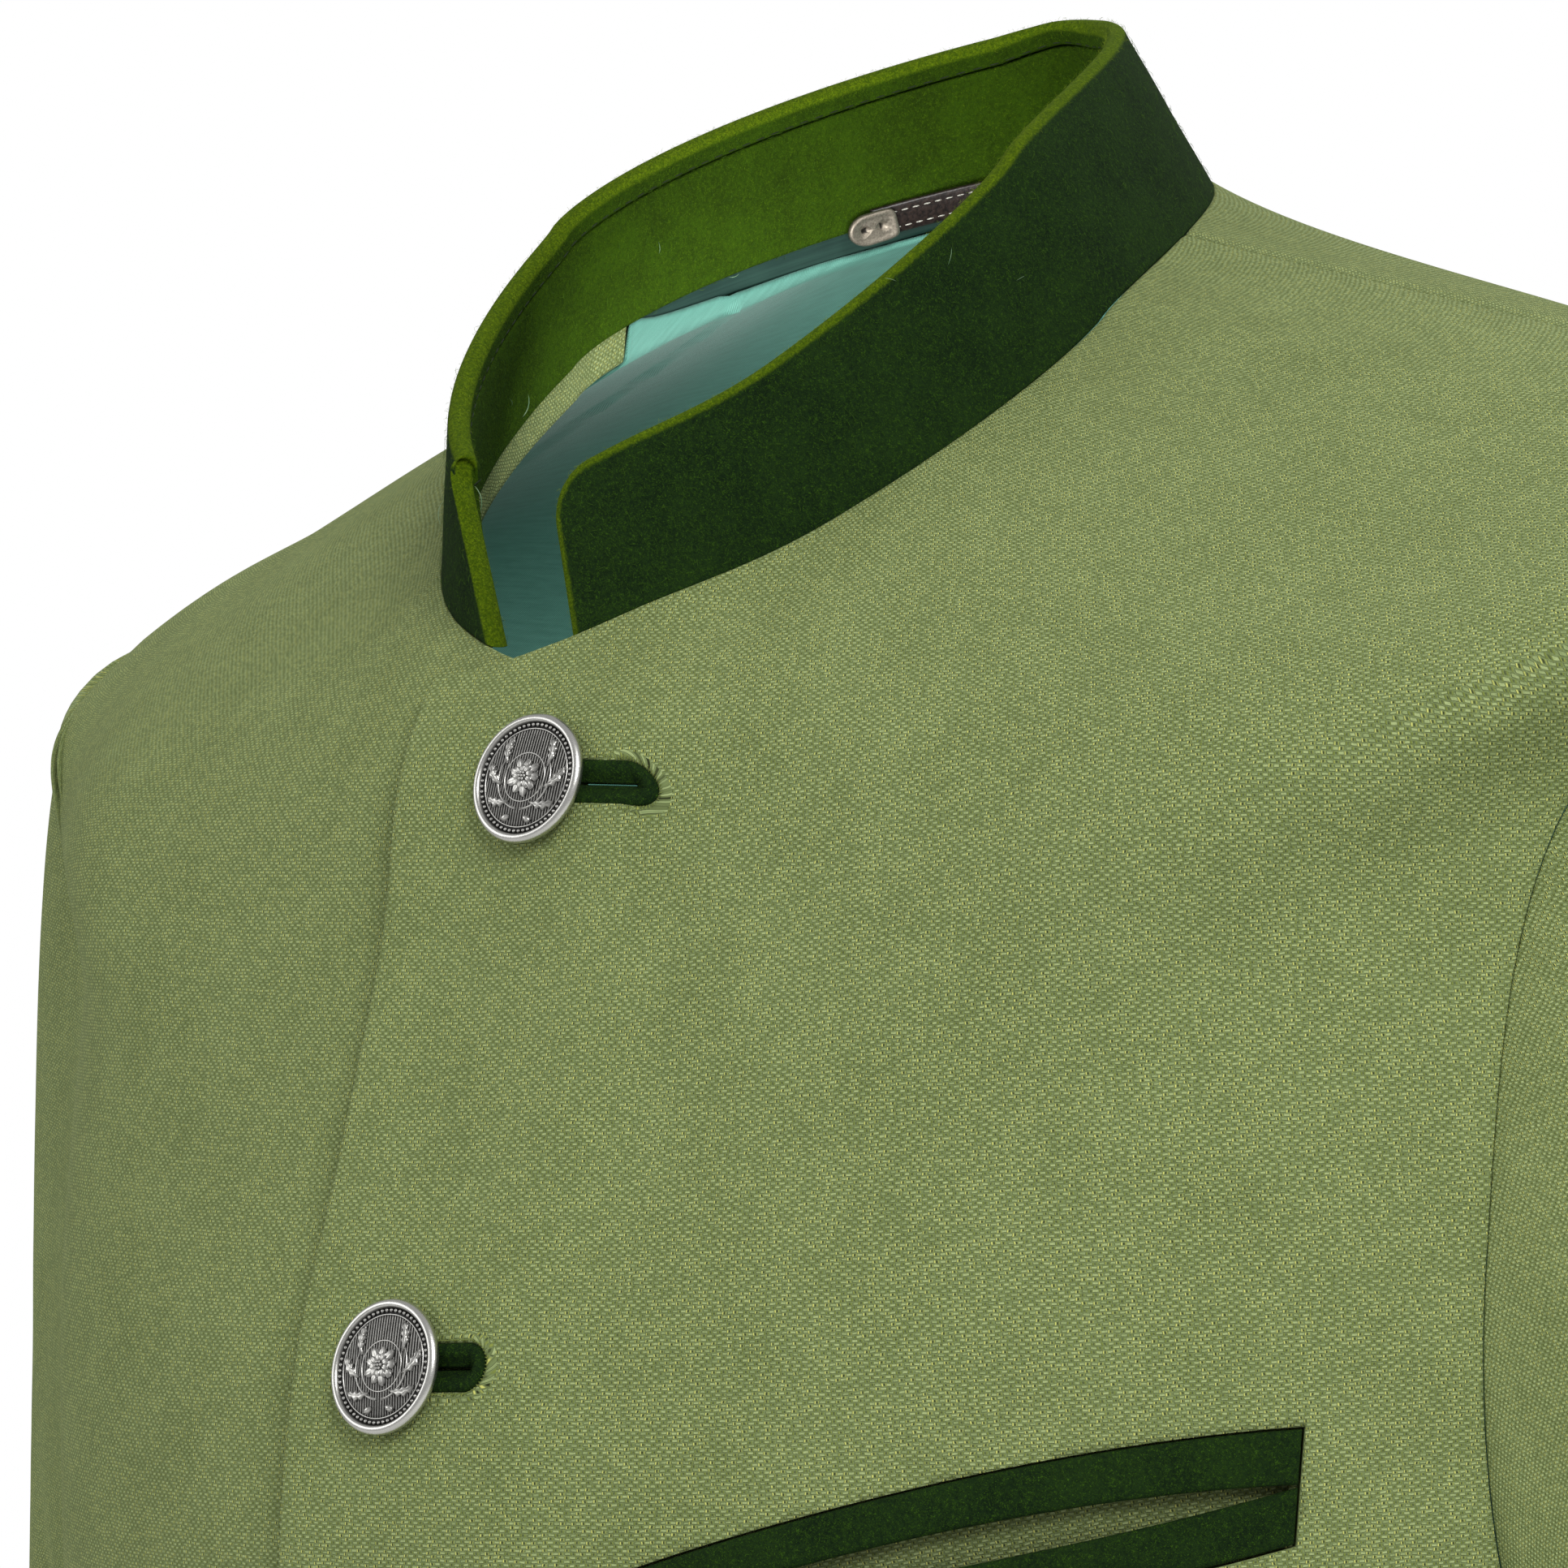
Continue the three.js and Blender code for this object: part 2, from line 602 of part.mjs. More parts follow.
// ---------------------------------------------------------------- inside the neck

// A point of the cloth inside the neck, its outer face at a depth below the body surface. It
// leaves the panels at the last row below the collar seam, and above that seam, where v is over
// 1, it lies against the outer felt.
function insidePoint(angle, v, depth) {
  const theta = angle <= 180 ? angle : angle - 360;
  const below = bodyOut(theta, Math.min(v, INSIDE.leave), -depth);
  if (v <= INSIDE.leave) return below;
  const { seam, up, inward } = collarFrame(angle);
  const normal = bodyNormal(theta, 1);
  const away = depth + FELT - CLOTH;
  const height = Math.max(v - 1, 0) * INSIDE.perV;
  const sink = Math.max(0, depth + away * normal.dot(inward)) * Math.max(0, 1 - height / 5);
  const above = seam.addScaledVector(inward, away).addScaledVector(normal, -sink);
  above.addScaledVector(up, height);
  return below.lerp(above, Math.min((v - INSIDE.leave) / (1 - INSIDE.leave), 1));
}

// A wall between two sets of rows of points, which level gives for its outer and inner face.
const layered = (level, depth, thick) => wall(level(depth), level(depth + thick));

// The angle of the last column of a front but one, where the cloth inside the neck changes.
function insideStart(row) {
  const near = angleInRow(FRONT_COLUMNS_X.at(-1), row);
  return lerp(near, seamAngle(true, row), 1 - 1 / FRONT_COLUMNS_BEYOND);
}

// A linen facing inside the right front. It ends short of the neckline, but where it reaches
// the collar it goes on above the seam.
function frontFacing() {
  const rows = frontGrid(false).slice(FRONT_FACING.rows).map((row) => row.slice(0, -1));
  const last = rows.at(-1);
  const otherSide = vec(-1, 1, 1);
  const level = (depth) => {
    const points = rows.map((row) => row.map(({ theta, v }) => bodyOut(theta, v, -depth)));
    const neck = points.pop();
    const before = points.at(-1);
    const end = (keep, top) =>
      last.map(({ theta }, i) => {
        const past = theta - (360 - COLLAR_END);
        if (past < 5) return before[i].clone().lerp(neck[i], keep);
        const v = lerp(1, top, smooth(past, 3, 16));
        return insidePoint(360 - theta, v, depth).multiply(otherSide);
      });
    return [...points, end(0.6, 1), end(0.75, INSIDE.top)];
  };
  return mirrored(layered(level, CLOTH + FRONT_FACING.off, FACING));
}

// v of the lower edge of the facing across the back of the neck.
function backFacingV(angle) {
  const share = 1 - Math.abs(angle - 180) / (180 - insideStart(1));
  return lerp(BACK_FACING.shoulder, BACK_FACING.middle, Math.sqrt(clamp(share, 0, 1)));
}

// Angles across the back of the neck, from one front to the other, those of the collar.
const NECK_ANGLES = (() => {
  const start = insideStart(1) + INSIDE.apart;
  const between = COLLAR_ANGLES.filter((angle) => angle > start + 1 && angle < 359 - start);
  return [start, ...between, 360 - start];
})();

function backFacing() {
  const level = (depth) =>
    [0, 0.5, 1].map((up) =>
      NECK_ANGLES.map((angle) => insidePoint(angle, lerp(backFacingV(angle), INSIDE.top, up), depth)),
    );
  return layered(level, CLOTH + 1.5 * GAP, FACING);
}

// The half lining of the back, from the waist to just under that facing. Above the armholes it
// reaches forward over the shoulder seams.
function backLining() {
  const rows = ROW_V.slice(LINING.rows, -1).map((v) => ({ v, angles: backRow(v) }));
  const below = rows.map(({ v, angles }) => {
    const forward = smooth(v, V_SHOULDER, INSIDE.leave);
    const seam = angles[0].theta;
    const start = lerp(seam + LINING.inset, insideStart(v) + INSIDE.apart, forward);
    const second = lerp(seam + 2 * LINING.inset, seam, forward);
    const between = angles.slice(1, -1).map(({ theta }) => theta);
    return [start, second, ...between, 360 - second, 360 - start].map((angle) => ({ angle, v }));
  });
  const above = [0.8, 1].map((share) =>
    NECK_ANGLES.map((angle) => {
      return { angle, v: lerp(INSIDE.leave, backFacingV(angle) - 0.0012, share) };
    }),
  );
  const level = (depth) =>
    [...below, ...above].map((row) => row.map(({ angle, v }) => insidePoint(angle, v, depth)));
  return layered(level, CLOTH + LINING.slack, LINING.thick);
}

// ---------------------------------------------------------------- hanger loop

// A band inside the collar, along the lower edge of its inner felt, between two depths.
function seamBand(fromAngle, toAngle, half, depth, thick, bow, count) {
  const angles = spread(fromAngle, toAngle, count);
  const level = (extra) =>
    [-half, half].map((u) =>
      angles.map((angle) => {
        const { seam, up, inward } = collarFrame(angle);
        const belly = bow * Math.cos(((angle - 180) / HANGER.reach) * (Math.PI / 2));
        const w = depth + extra + belly;
        return seam.clone().addScaledVector(up, u + HANGER.up).addScaledVector(inward, w);
      }),
    );
  return wall(level(0), level(thick));
}

function hangerStrap() {
  const { reach, half, off, thick, bow } = HANGER;
  return seamBand(180 - reach, 180 + reach, half, off, thick, bow, 12);
}

// The metal plate over one end of the strap. side is 1 on the wearer's right, -1 on the left.
function hangerPlate(side) {
  const depth = HANGER.off + HANGER.thick + GAP + 0.45;
  const ends = [180 + side * PLATE.from, 180 + side * PLATE.to].sort((a, b) => a - b);
  return seamBand(ends[0], ends[1], PLATE.half, depth, PLATE.thick, 0, 4);
}

// ---------------------------------------------------------------- sleeves

const sleeveRing = (name, t) => column(SLEEVE_RINGS, "t", name, t);
const SLEEVE_TOP = SLEEVE_RINGS[0].t;

// The left armhole as a loop. phi is 0 at the shoulder tip, 90 in front, 180 at the armpit.
function armholeAt(phi) {
  const turn = ((phi % 360) + 360) % 360;
  const front = turn < 180;
  return armhole(front, front ? 1 - turn / 180 : (turn - 180) / 180);
}

// The sleeve starts at the armhole, a seam's gap outside the cut edge of the body.
function sleeveRoot(phi) {
  const { theta, v } = armholeAt(phi);
  const before = armholeAt(phi - 1);
  const after = armholeAt(phi + 1);
  const edge = body(after.theta, after.v).sub(body(before.theta, before.v));
  const normal = bodyNormal(theta, v);
  const away = normal.clone().cross(edge).normalize();
  return { point: body(theta, v).addScaledVector(away, 1.5 * GAP), normal, away };
}

// A point of the sleeve. t is 0 at the armhole and 1 at the cuff.
function sleeve(phi, t) {
  const c = Math.cos(rad(phi));
  const s = Math.sin(rad(phi));
  const low = Math.max(t, SLEEVE_TOP);
  const [x, y, z, a, b] = ["x", "y", "z", "a", "b"].map((name) => sleeveRing(name, low));
  const step = 0.01;
  const slope =
    (sleeveRing("y", low + step) - sleeveRing("y", low - step)) /
    (sleeveRing("z", low + step) - sleeveRing("z", low - step));
  const ringTilt = low > SLEEVE_TOP ? slope * smooth(low, SLEEVE_TOP, SLEEVE_TOP + 0.2) : 0;
  const point = vec(x + a * c, y - b * s, z + b * s * ringTilt);
  if (t >= SLEEVE_TOP) return point;
  // The head: leaves the armhole outward and down, and meets the first ring going down.
  const q = t / SLEEVE_TOP;
  const up = (1 + c) / 2;
  const leave = vec(26 + 24 * up, 10 * s, -30 - 85 * up);
  const arrive = vec(12, 0, -70 - 230 * up);
  return sleeveRoot(phi)
    .point.multiplyScalar(2 * q ** 3 - 3 * q ** 2 + 1)
    .addScaledVector(leave, q ** 3 - 2 * q ** 2 + q)
    .addScaledVector(point, 3 * q ** 2 - 2 * q ** 3)
    .addScaledVector(arrive, q ** 3 - q ** 2);
}

const SLEEVE_ROWS_T = [...spread(0, SLEEVE_TOP, 5), ...spread(SLEEVE_TOP, 1, 7).slice(1)];

// One panel of the left sleeve: all between two of its seams.
function sleevePanel([from, to]) {
  const seamGap = deg(GAP / 2 / SLEEVE_RINGS[0].b);
  const count = (to - from) / SLEEVE_SEAMS.step;
  const angles = spread(from + seamGap, to - seamGap, count);
  const normalAt = (phi, t) => {
    const own = normalOf(sleeve, phi, clamp(t, 0.01, 0.99), 1, 0.005);
    if (t > 0) return own;
    // Under the arm the cloth folds back on itself, so its thickness turns up out of the fold.
    const { normal, away } = sleeveRoot(phi);
    return normal.addScaledVector(away, -Math.max(0, -own.dot(away))).normalize();
  };
  const outer = SLEEVE_ROWS_T.map((t) => angles.map((phi) => sleeve(phi, t)));
  const inner = SLEEVE_ROWS_T.map((t, r) =>
    angles.map((phi, k) => outer[r][k].clone().addScaledVector(normalAt(phi, t), -CLOTH)),
  );
  return wall(outer, inner);
}

// ---------------------------------------------------------------- materials

const finish = (color, roughness, metalness = 0) =>
  new THREE.MeshStandardMaterial({ color, roughness, metalness });
const materials = {
  linen: finish(0x879a5c, 0.85),
  felt: finish(0x1e3115, 0.95),
  teal: finish(0x4f8474, 0.6),
  darkTeal: finish(0x20372e, 0.7),
  silver: finish(0xa9a9a4, 0.35, 1),
  leather: finish(0x241d19, 0.5),
  pewter: finish(0x9a9a92, 0.4, 1),
};

// ---------------------------------------------------------------- the jacket

const jacket = new THREE.Group();

function add(name, geometry, material) {
  const mesh = new THREE.Mesh(geometry, material);
  mesh.name = name;
  jacket.add(mesh);
}

const leftFront = patch(frontGrid(true), 0, -CLOTH);
const rightFront = mirrored(patch(frontGrid(false), 0, -CLOTH));
add("front_left", cut(leftFront, [...BUTTON_PLACES.map(holeCutter), pocketCutter()]), materials.linen);
add("front_right", rightFront, materials.linen);
add("back", patch(ROW_V.map((v) => backRow(v)), 0, -CLOTH), materials.linen);

const sleevePanels = {
  top: [SLEEVE_SEAMS.back - 360, SLEEVE_SEAMS.front],
  under: [SLEEVE_SEAMS.front, SLEEVE_SEAMS.back],
};
Object.entries(sleevePanels).forEach(([name, between]) => {
  const panel = sleevePanel(between);
  add(`sleeve_${name}_left`, panel, materials.linen);
  add(`sleeve_${name}_right`, mirrored(panel), materials.linen);
});

add("collar_outer", collarBar(outerCollarSection), materials.felt);
add("collar_inner", collarBar(innerCollarSection), materials.felt);

add("facing_right", frontFacing(), materials.linen);
add("facing_back_neck", backFacing(), materials.darkTeal);
add("lining_back", backLining(), materials.teal);

add("pocket_welt_upper", upperWelt(), materials.felt);
add("pocket_welt_lower", lowerWelt(), materials.felt);
add("pocket_backing", pocketBacking(), materials.linen);

add("hanger_strap", hangerStrap(), materials.leather);
add("hanger_plate_right", hangerPlate(1), materials.pewter);
add("hanger_plate_left", hangerPlate(-1), materials.pewter);

BUTTON_PLACES.forEach((place, i) => {
  add(`buttonhole_${i + 1}`, bindingGeometry(place), materials.felt);
  const button = buttonMesh(place);
  button.name = `button_${i + 1}`;
  jacket.add(button);
});

export default jacket;
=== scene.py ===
# %% [markdown]
# # A linen trachten jacket, filled out as if worn
# The jacket is a hollow garment: five linen panels, a stand collar of milled felt, felt-bound
# buttonholes with relief buttons, a welt breast pocket, and a few lining pieces that show inside
# the neck. The packed solids give every piece its place, and this script gives it cloth: finer
# shells on the same surfaces, with weave, fibres, stitches and folds.
# Lengths are worked out in millimetres, as a tailor would, and become metres when a mesh is made.

import json
import math

import bpy
import numpy as np
from mathutils import Matrix, Vector

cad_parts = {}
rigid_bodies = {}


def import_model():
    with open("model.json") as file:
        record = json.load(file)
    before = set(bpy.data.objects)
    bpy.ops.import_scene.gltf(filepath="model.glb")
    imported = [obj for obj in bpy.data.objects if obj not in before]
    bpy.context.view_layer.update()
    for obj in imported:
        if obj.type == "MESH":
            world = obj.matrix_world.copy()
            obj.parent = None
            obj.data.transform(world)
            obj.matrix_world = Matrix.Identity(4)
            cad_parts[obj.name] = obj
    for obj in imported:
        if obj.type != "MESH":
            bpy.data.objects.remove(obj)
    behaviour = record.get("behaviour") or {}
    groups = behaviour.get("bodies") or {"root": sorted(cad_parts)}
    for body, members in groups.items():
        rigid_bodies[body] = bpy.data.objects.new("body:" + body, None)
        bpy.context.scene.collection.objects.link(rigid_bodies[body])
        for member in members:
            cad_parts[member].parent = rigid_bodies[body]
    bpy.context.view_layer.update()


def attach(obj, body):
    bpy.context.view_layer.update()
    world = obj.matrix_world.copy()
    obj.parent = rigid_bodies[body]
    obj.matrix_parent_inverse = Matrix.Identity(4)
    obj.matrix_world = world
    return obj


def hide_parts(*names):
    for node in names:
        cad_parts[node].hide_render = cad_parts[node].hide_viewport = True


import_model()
ROOT = "root"
MM = 0.001

# %% [markdown]
# ## The camera
# The jacket is seen from in front and a little to the wearer's left, from just under collar
# height, close enough that only the collar, the shoulders and the chest fit in. A long lens
# keeps the perspective mild. The camera is placed by its azimuth, elevation, roll and distance
# from a point on the chest, because those are the numbers that a photographer would write down.

# %% Camera
CAMERA = {"azimuth": 39.12, "elevation": -1.92, "roll": 2.66, "distance": 988.42, "view": 16.383}
CHEST_POINT = np.array([5.32, -40.0, -103.53])


def camera_axes(azimuth, elevation, roll):
    """Right, up and back of a camera, for angles in degrees."""
    a, e, r = np.radians([azimuth, elevation, roll])
    back = np.array([np.sin(a) * np.cos(e), -np.cos(a) * np.cos(e), np.sin(e)])
    right = np.array([np.cos(a), np.sin(a), 0])
    up = np.cross(back, right)
    return right * np.cos(r) - up * np.sin(r), right * np.sin(r) + up * np.cos(r), back


def add_camera():
    right, up, back = camera_axes(CAMERA["azimuth"], CAMERA["elevation"], CAMERA["roll"])
    data = bpy.data.cameras.new("camera")
    data.sensor_width = 36
    data.angle = math.radians(CAMERA["view"])
    data.clip_start = 0.05
    camera = bpy.data.objects.new("camera", data)
    matrix = Matrix.Identity(4)
    place = (CHEST_POINT + back * CAMERA["distance"]) * MM
    for row in range(3):
        matrix[row][0], matrix[row][1] = right[row], up[row]
        matrix[row][2], matrix[row][3] = back[row], place[row]
    camera.matrix_world = matrix
    bpy.context.scene.collection.objects.link(camera)
    bpy.context.scene.camera = camera
    return camera


add_camera()
print("camera at", [round(x, 3) for x in bpy.context.scene.camera.location])

# %% [markdown]
# ## Tools for materials
# A material is a tree of nodes. Written out link by link it hides its own idea, so one small
# class holds a socket and answers to + - * and /, and each expression adds its Math nodes. A
# second class is the material itself: `node` makes any other node from its settings and inputs.


# %% Shader maths
class Channel:
    """One output socket of a tree of nodes, which can be calculated with."""

    def __init__(self, tree, socket):
        self.tree = tree
        self.socket = socket

    def maths(self, operation, *others):
        values = {0: self, **{i + 1: other for i, other in enumerate(others)}}
        return self.tree.node("ShaderNodeMath", {"operation": operation}, values)

    def __add__(self, other):
        return self.maths("ADD", other)

    def __sub__(self, other):
        return self.maths("SUBTRACT", other)

    def __mul__(self, other):
        return self.maths("MULTIPLY", other)

    def __truediv__(self, other):
        return self.maths("DIVIDE", other)

    def __rsub__(self, other):
        return self.tree.number(other).maths("SUBTRACT", self)

    def __rtruediv__(self, other):
        return self.tree.number(other).maths("DIVIDE", self)

    __radd__ = __add__
    __rmul__ = __mul__

    def floor(self):
        return self.maths("FLOOR")

    def part(self):
        """The fraction after the whole number."""
        return self.maths("FRACT")

    def size(self):
        return self.maths("ABSOLUTE")

    def power(self, exponent):
        return self.maths("POWER", exponent)

    def most(self, other):
        return self.maths("MAXIMUM", other)

    def fade(self, start, end):
        """0 at start and 1 at end, smooth between. start may be the larger."""
        flip = start > end
        low, high = (end, start) if flip else (start, end)
        ends = {"To Min": 1.0, "To Max": 0.0} if flip else {"To Min": 0.0, "To Max": 1.0}
        values = {"Value": self, "From Min": low, "From Max": high, **ends}
        return self.tree.node("ShaderNodeMapRange", {"interpolation_type": "SMOOTHSTEP"}, values)


print("channel methods:", [name for name in vars(Channel) if not name.startswith("_")])

# %% [markdown]
# Colours are written as a painter would read them off a swatch, in steps from 0 to 255, and become
# linear light here. A tree of nodes is held by one class, for materials and for geometry alike,
# and a finish is a tree that ends in one shader, with the few nodes that cloth and metal need.


# %% Trees of nodes
def linear(red, green, blue):
    """A colour given in everyday 0 to 255 steps, as the linear colour that a shader takes."""
    share = np.array([red, green, blue]) / 255
    light = np.where(share <= 0.04045, share / 12.92, ((share + 0.055) / 1.055) ** 2.4)
    return (*[float(x) for x in light], 1.0)


class Tree:
    """Nodes and links of a material or of a Geometry Nodes recipe."""

    def __init__(self, tree):
        self.tree = tree

    def node(self, kind, settings=None, values=None, output=0):
        """Makes a node: its settings first, then the values or links of its sockets."""
        made = self.tree.nodes.new(kind)
        for key, value in (settings or {}).items():
            setattr(made, key, value)
        for key, value in (values or {}).items():
            self.feed(made.inputs[key], value)
        return Channel(self, made.outputs[output])

    def feed(self, socket, value):
        if isinstance(value, Channel):
            self.tree.links.new(value.socket, socket)
        else:
            socket.default_value = value

    def number(self, value):
        made = self.node("ShaderNodeValue")
        made.socket.default_value = value
        return made

    def joined(self, x, y, z=0.0):
        return self.node("ShaderNodeCombineXYZ", values={0: x, 1: y, 2: z})


class Finish(Tree):
    """A material, built node by node."""

    def __init__(self, name):
        self.material = bpy.data.materials.new(name)
        self.material.use_nodes = True
        super().__init__(self.material.node_tree)
        self.shader = self.tree.nodes["Principled BSDF"]

    def set(self, **values):
        """Constants or channels of the main shader, by name with _ for a space."""
        for key, value in values.items():
            self.feed(self.shader.inputs[key.replace("_", " ")], value)

    def place(self):
        """The Object coordinates."""
        return self.node("ShaderNodeTexCoord", output="Object")

    def across_and_up(self):
        """The piece's own flat pattern: millimetres across and up the cloth."""
        pattern = self.node("ShaderNodeUVMap", {"uv_map": PATTERN})
        across = self.node("ShaderNodeSeparateXYZ", values={0: pattern}, output=0)
        up = Channel(self, across.socket.node.outputs[1])
        return across * 1000, up * 1000

    def attribute(self, name):
        return self.node("ShaderNodeAttribute", {"attribute_name": name}, output="Fac")

    def noise(self, vector, scale, detail=2.0, rough=0.5):
        values = {"Vector": vector, "Scale": scale, "Detail": detail, "Roughness": rough}
        return self.node("ShaderNodeTexNoise", values=values)

    def chance(self, vector):
        """A number from 0 to 1 for each whole-number place."""
        return self.node("ShaderNodeTexWhiteNoise", {"noise_dimensions": "2D"}, {"Vector": vector})

    def mix(self, share, first, second):
        """The first colour at share 0 and the second at 1. Its colour sockets are 6 and 7."""
        settings = {"data_type": "RGBA", "clamp_factor": True}
        return self.node("ShaderNodeMix", settings, {0: share, 6: first, 7: second}, output=2)

    def bump(self, height, depth):
        """A normal from a height between 0 and 1, depth millimetres deep."""
        return self.node("ShaderNodeBump", values={"Height": height, "Distance": depth * MM})


PATTERN = "pattern"
print("middle grey in linear light:", round(linear(128, 128, 128)[0], 3))

# %% [markdown]
# ## The surface that every panel is cut from
# A tailor thinks of one smooth form, the dress form, and lays every panel on it. Here that form is
# a table of rings from the hem to the neckline, the same rings that the solids were built on. Each
# column of the table becomes a smooth curve, so a point is found from two numbers: the angle
# round the body and the height v, from 0 at the hem to 1 at the neckline. NumPy works out whole
# grids of such points at once.

# %% Rings and seams, in millimetres and degrees
BODY_RINGS = {
    "v": [0.0, 0.16, 0.36, 0.52, 0.6, 0.68, 0.76, 0.84, 0.93, 1.0],
    "width": [190, 182, 161, 162, 173, 181, 184.8, 209, 147, 65.2],
    "front": [-142, -140, -138, -149, -151.5, -146, -132, -119, -111.8, -99.5],
    "back": [130, 124, 106, 112, 115, 115, 112, 105, 96, 85.3],
    "middle": [0, 0, 0, 0, 0, 0, 0, -2, -8, -17.6],
    "front_fullness": [2.2, 2.2, 2.15, 2.15, 1.95, 1.85, 1.85, 1.85, 1.88, 1.87],
    "back_fullness": [2.2, 2.2, 2.2, 2.3, 2.3, 2.3, 2.25, 2.1, 1.95, 1.72],
    "front_height": [-722, -610, -450, -320, -250, -205, -167, -131, -99.6, -78.7],
    "side_height": [-722, -610, -450, -320, -250, -180, -104.7, -64.8, -46.7, -23.3],
    "back_height": [-716, -604, -446, -312, -240, -176, -118, -62, -20, 18.2],
    "tilt": [0, 0, 0, 0, 0, -10, -24, -40.9, -52.1, -47.4],
}
SLEEVE_RINGS = {
    "t": [0.3, 0.45, 0.62, 0.8, 1.0],
    "x": [211, 219, 229, 235, 236],
    "y": [38, 38, 31, 15, -11],
    "z": [-322, -385, -460, -545, -640],
    "half_width": [44, 44, 42, 38, 34],
    "half_depth": [64, 61, 56, 50, 45],
}
CLOTH = 1.6
FELT = 2.0
FACING = 1.2
LINING = 1.0
SEAM_GAP = -0.15  # below zero, because sewn borders run a little into each other
SIDE_SEAM = 93
SHOULDER_TIP, SHOULDER_NECK = 102, 114
V_ARMPIT, V_SHOULDER, V_YOKE = 0.55, 0.84, 0.93
ARMHOLE = {"front": 33, "back": 26, "fullness": 0.7}
FRONT_EDGE = 19.5
LAP = {"lift": 2.4, "from": 45, "to": 22}
NECK_LINE = {"from": 20.2, "slope": 0.39, "rise": 390}
print("rings of the body:", len(BODY_RINGS["v"]), "and of a sleeve:", len(SLEEVE_RINGS["t"]))

# %% [markdown]
# Straight lines between the rings would show as bends in the cloth. Each column is read as a
# smooth curve of cubic pieces instead, whose slope at a ring comes from the rings on both sides.


# %% Smooth curves through the tables
def curve(table, name, key, at):
    """One column of a table as a smooth curve, straight past its ends."""
    x, y = np.array(table[key], float), np.array(table[name], float)
    steps = np.diff(x)
    chords = np.diff(y) / steps
    inner = (chords[:-1] * steps[1:] + chords[1:] * steps[:-1]) / (steps[1:] + steps[:-1])
    slopes = np.concatenate([chords[:1], inner, chords[-1:]])
    at = np.asarray(at, float)
    i = np.clip(np.searchsorted(x, at) - 1, 0, len(x) - 2)
    t = (at - x[i]) / steps[i]
    q = np.clip(t, 0, 1)
    within = (
        (2 * q**3 - 3 * q**2 + 1) * y[i]
        + (q**3 - 2 * q**2 + q) * steps[i] * slopes[i]
        + (3 * q**2 - 2 * q**3) * y[i + 1]
        + (q**3 - q**2) * steps[i] * slopes[i + 1]
    )
    return within + (t - q) * steps[i] * np.where(t > 1, slopes[i + 1], slopes[i])


def smooth(x, low, high):
    """0 up to low, 1 from high, smooth between."""
    t = np.clip((x - low) / (high - low), 0, 1)
    return t * t * (3 - 2 * t)


def blend(first, second, share):
    return first + (second - first) * share


def unit(vectors):
    return vectors / np.linalg.norm(vectors, axis=-1, keepdims=True)


def ring(name, v):
    return curve(BODY_RINGS, name, "v", v)


print("half width of the chest:", round(float(ring("width", 0.6))), "mm")

# %% [markdown]
# A ring is a superellipse, fuller than an ellipse where the cloth lies flat over the chest. Its
# height isn't level: front, side and back of a ring have their own heights, because the neckline
# is high at the back and low in front, and the shoulders slope.


# %% The body surface
def body(theta, v):
    """Points of the body: 0 degrees is the centre front, 90 the wearer's left, 180 the back."""
    theta, v = np.broadcast_arrays(np.asarray(theta, float), np.asarray(v, float))
    s, c = np.sin(np.radians(theta)), np.cos(np.radians(theta))
    in_front = c > 0
    power = 2 / np.where(in_front, ring("front_fullness", v), ring("back_fullness", v))
    middle = ring("middle", v)
    reach = np.where(in_front, ring("front", v), ring("back", v)) - middle
    x = ring("width", v) * np.sign(s) * np.abs(s) ** power
    y = middle + reach * np.abs(c) ** power
    front, side, back = (ring(f"{name}_height", v) for name in ("front", "side", "back"))
    tilt = ring("tilt", v)
    z = side + tilt * c + ((front + back) / 2 - side) * c**2 + ((front - back) / 2 - tilt) * c**3
    return np.stack([x, y, z], -1)


def normals_of(surface, a, b, da, db):
    """Outward normals of surface(a, b), whose a runs round to the left and whose b runs up."""
    across = surface(a + da, b) - surface(a - da, b)
    along = surface(a, b + db) - surface(a, b - db)
    return unit(np.cross(across, along))


def body_normals(theta, v):
    return normals_of(body, np.asarray(theta, float), np.asarray(v, float), 0.5, 0.002)


def angle_at_x(x, v):
    """The angle at which the front is x millimetres from the centre, at height v."""
    share = np.clip(np.abs(x) / ring("width", v), 0, 1)
    return np.degrees(np.sign(x) * np.arcsin(share ** (ring("front_fullness", v) / 2)))


print("shoulder tip at", body(SHOULDER_TIP, V_SHOULDER).round(), "mm")

# %% [markdown]
# A pattern is cut along seams. The side seam runs up to the armpit, the armhole curves round from
# there to the shoulder tip, and the shoulder seam goes on to the neck. The left front laps over
# the right one at the middle, so it lies a little further out there.


# %% Seams
def armhole(front, u):
    """The cut edge of the left armhole, from the armpit, u = 0, to the shoulder tip, u = 1."""
    v = V_ARMPIT + (V_SHOULDER - V_ARMPIT) * (1 - np.cos(np.pi * u)) / 2
    line = blend(SIDE_SEAM, SHOULDER_TIP, u)
    cut = np.sin(np.pi * np.clip(u, 0, 1)) ** ARMHOLE["fullness"]
    return np.where(front, line - ARMHOLE["front"] * cut, line + ARMHOLE["back"] * cut), v


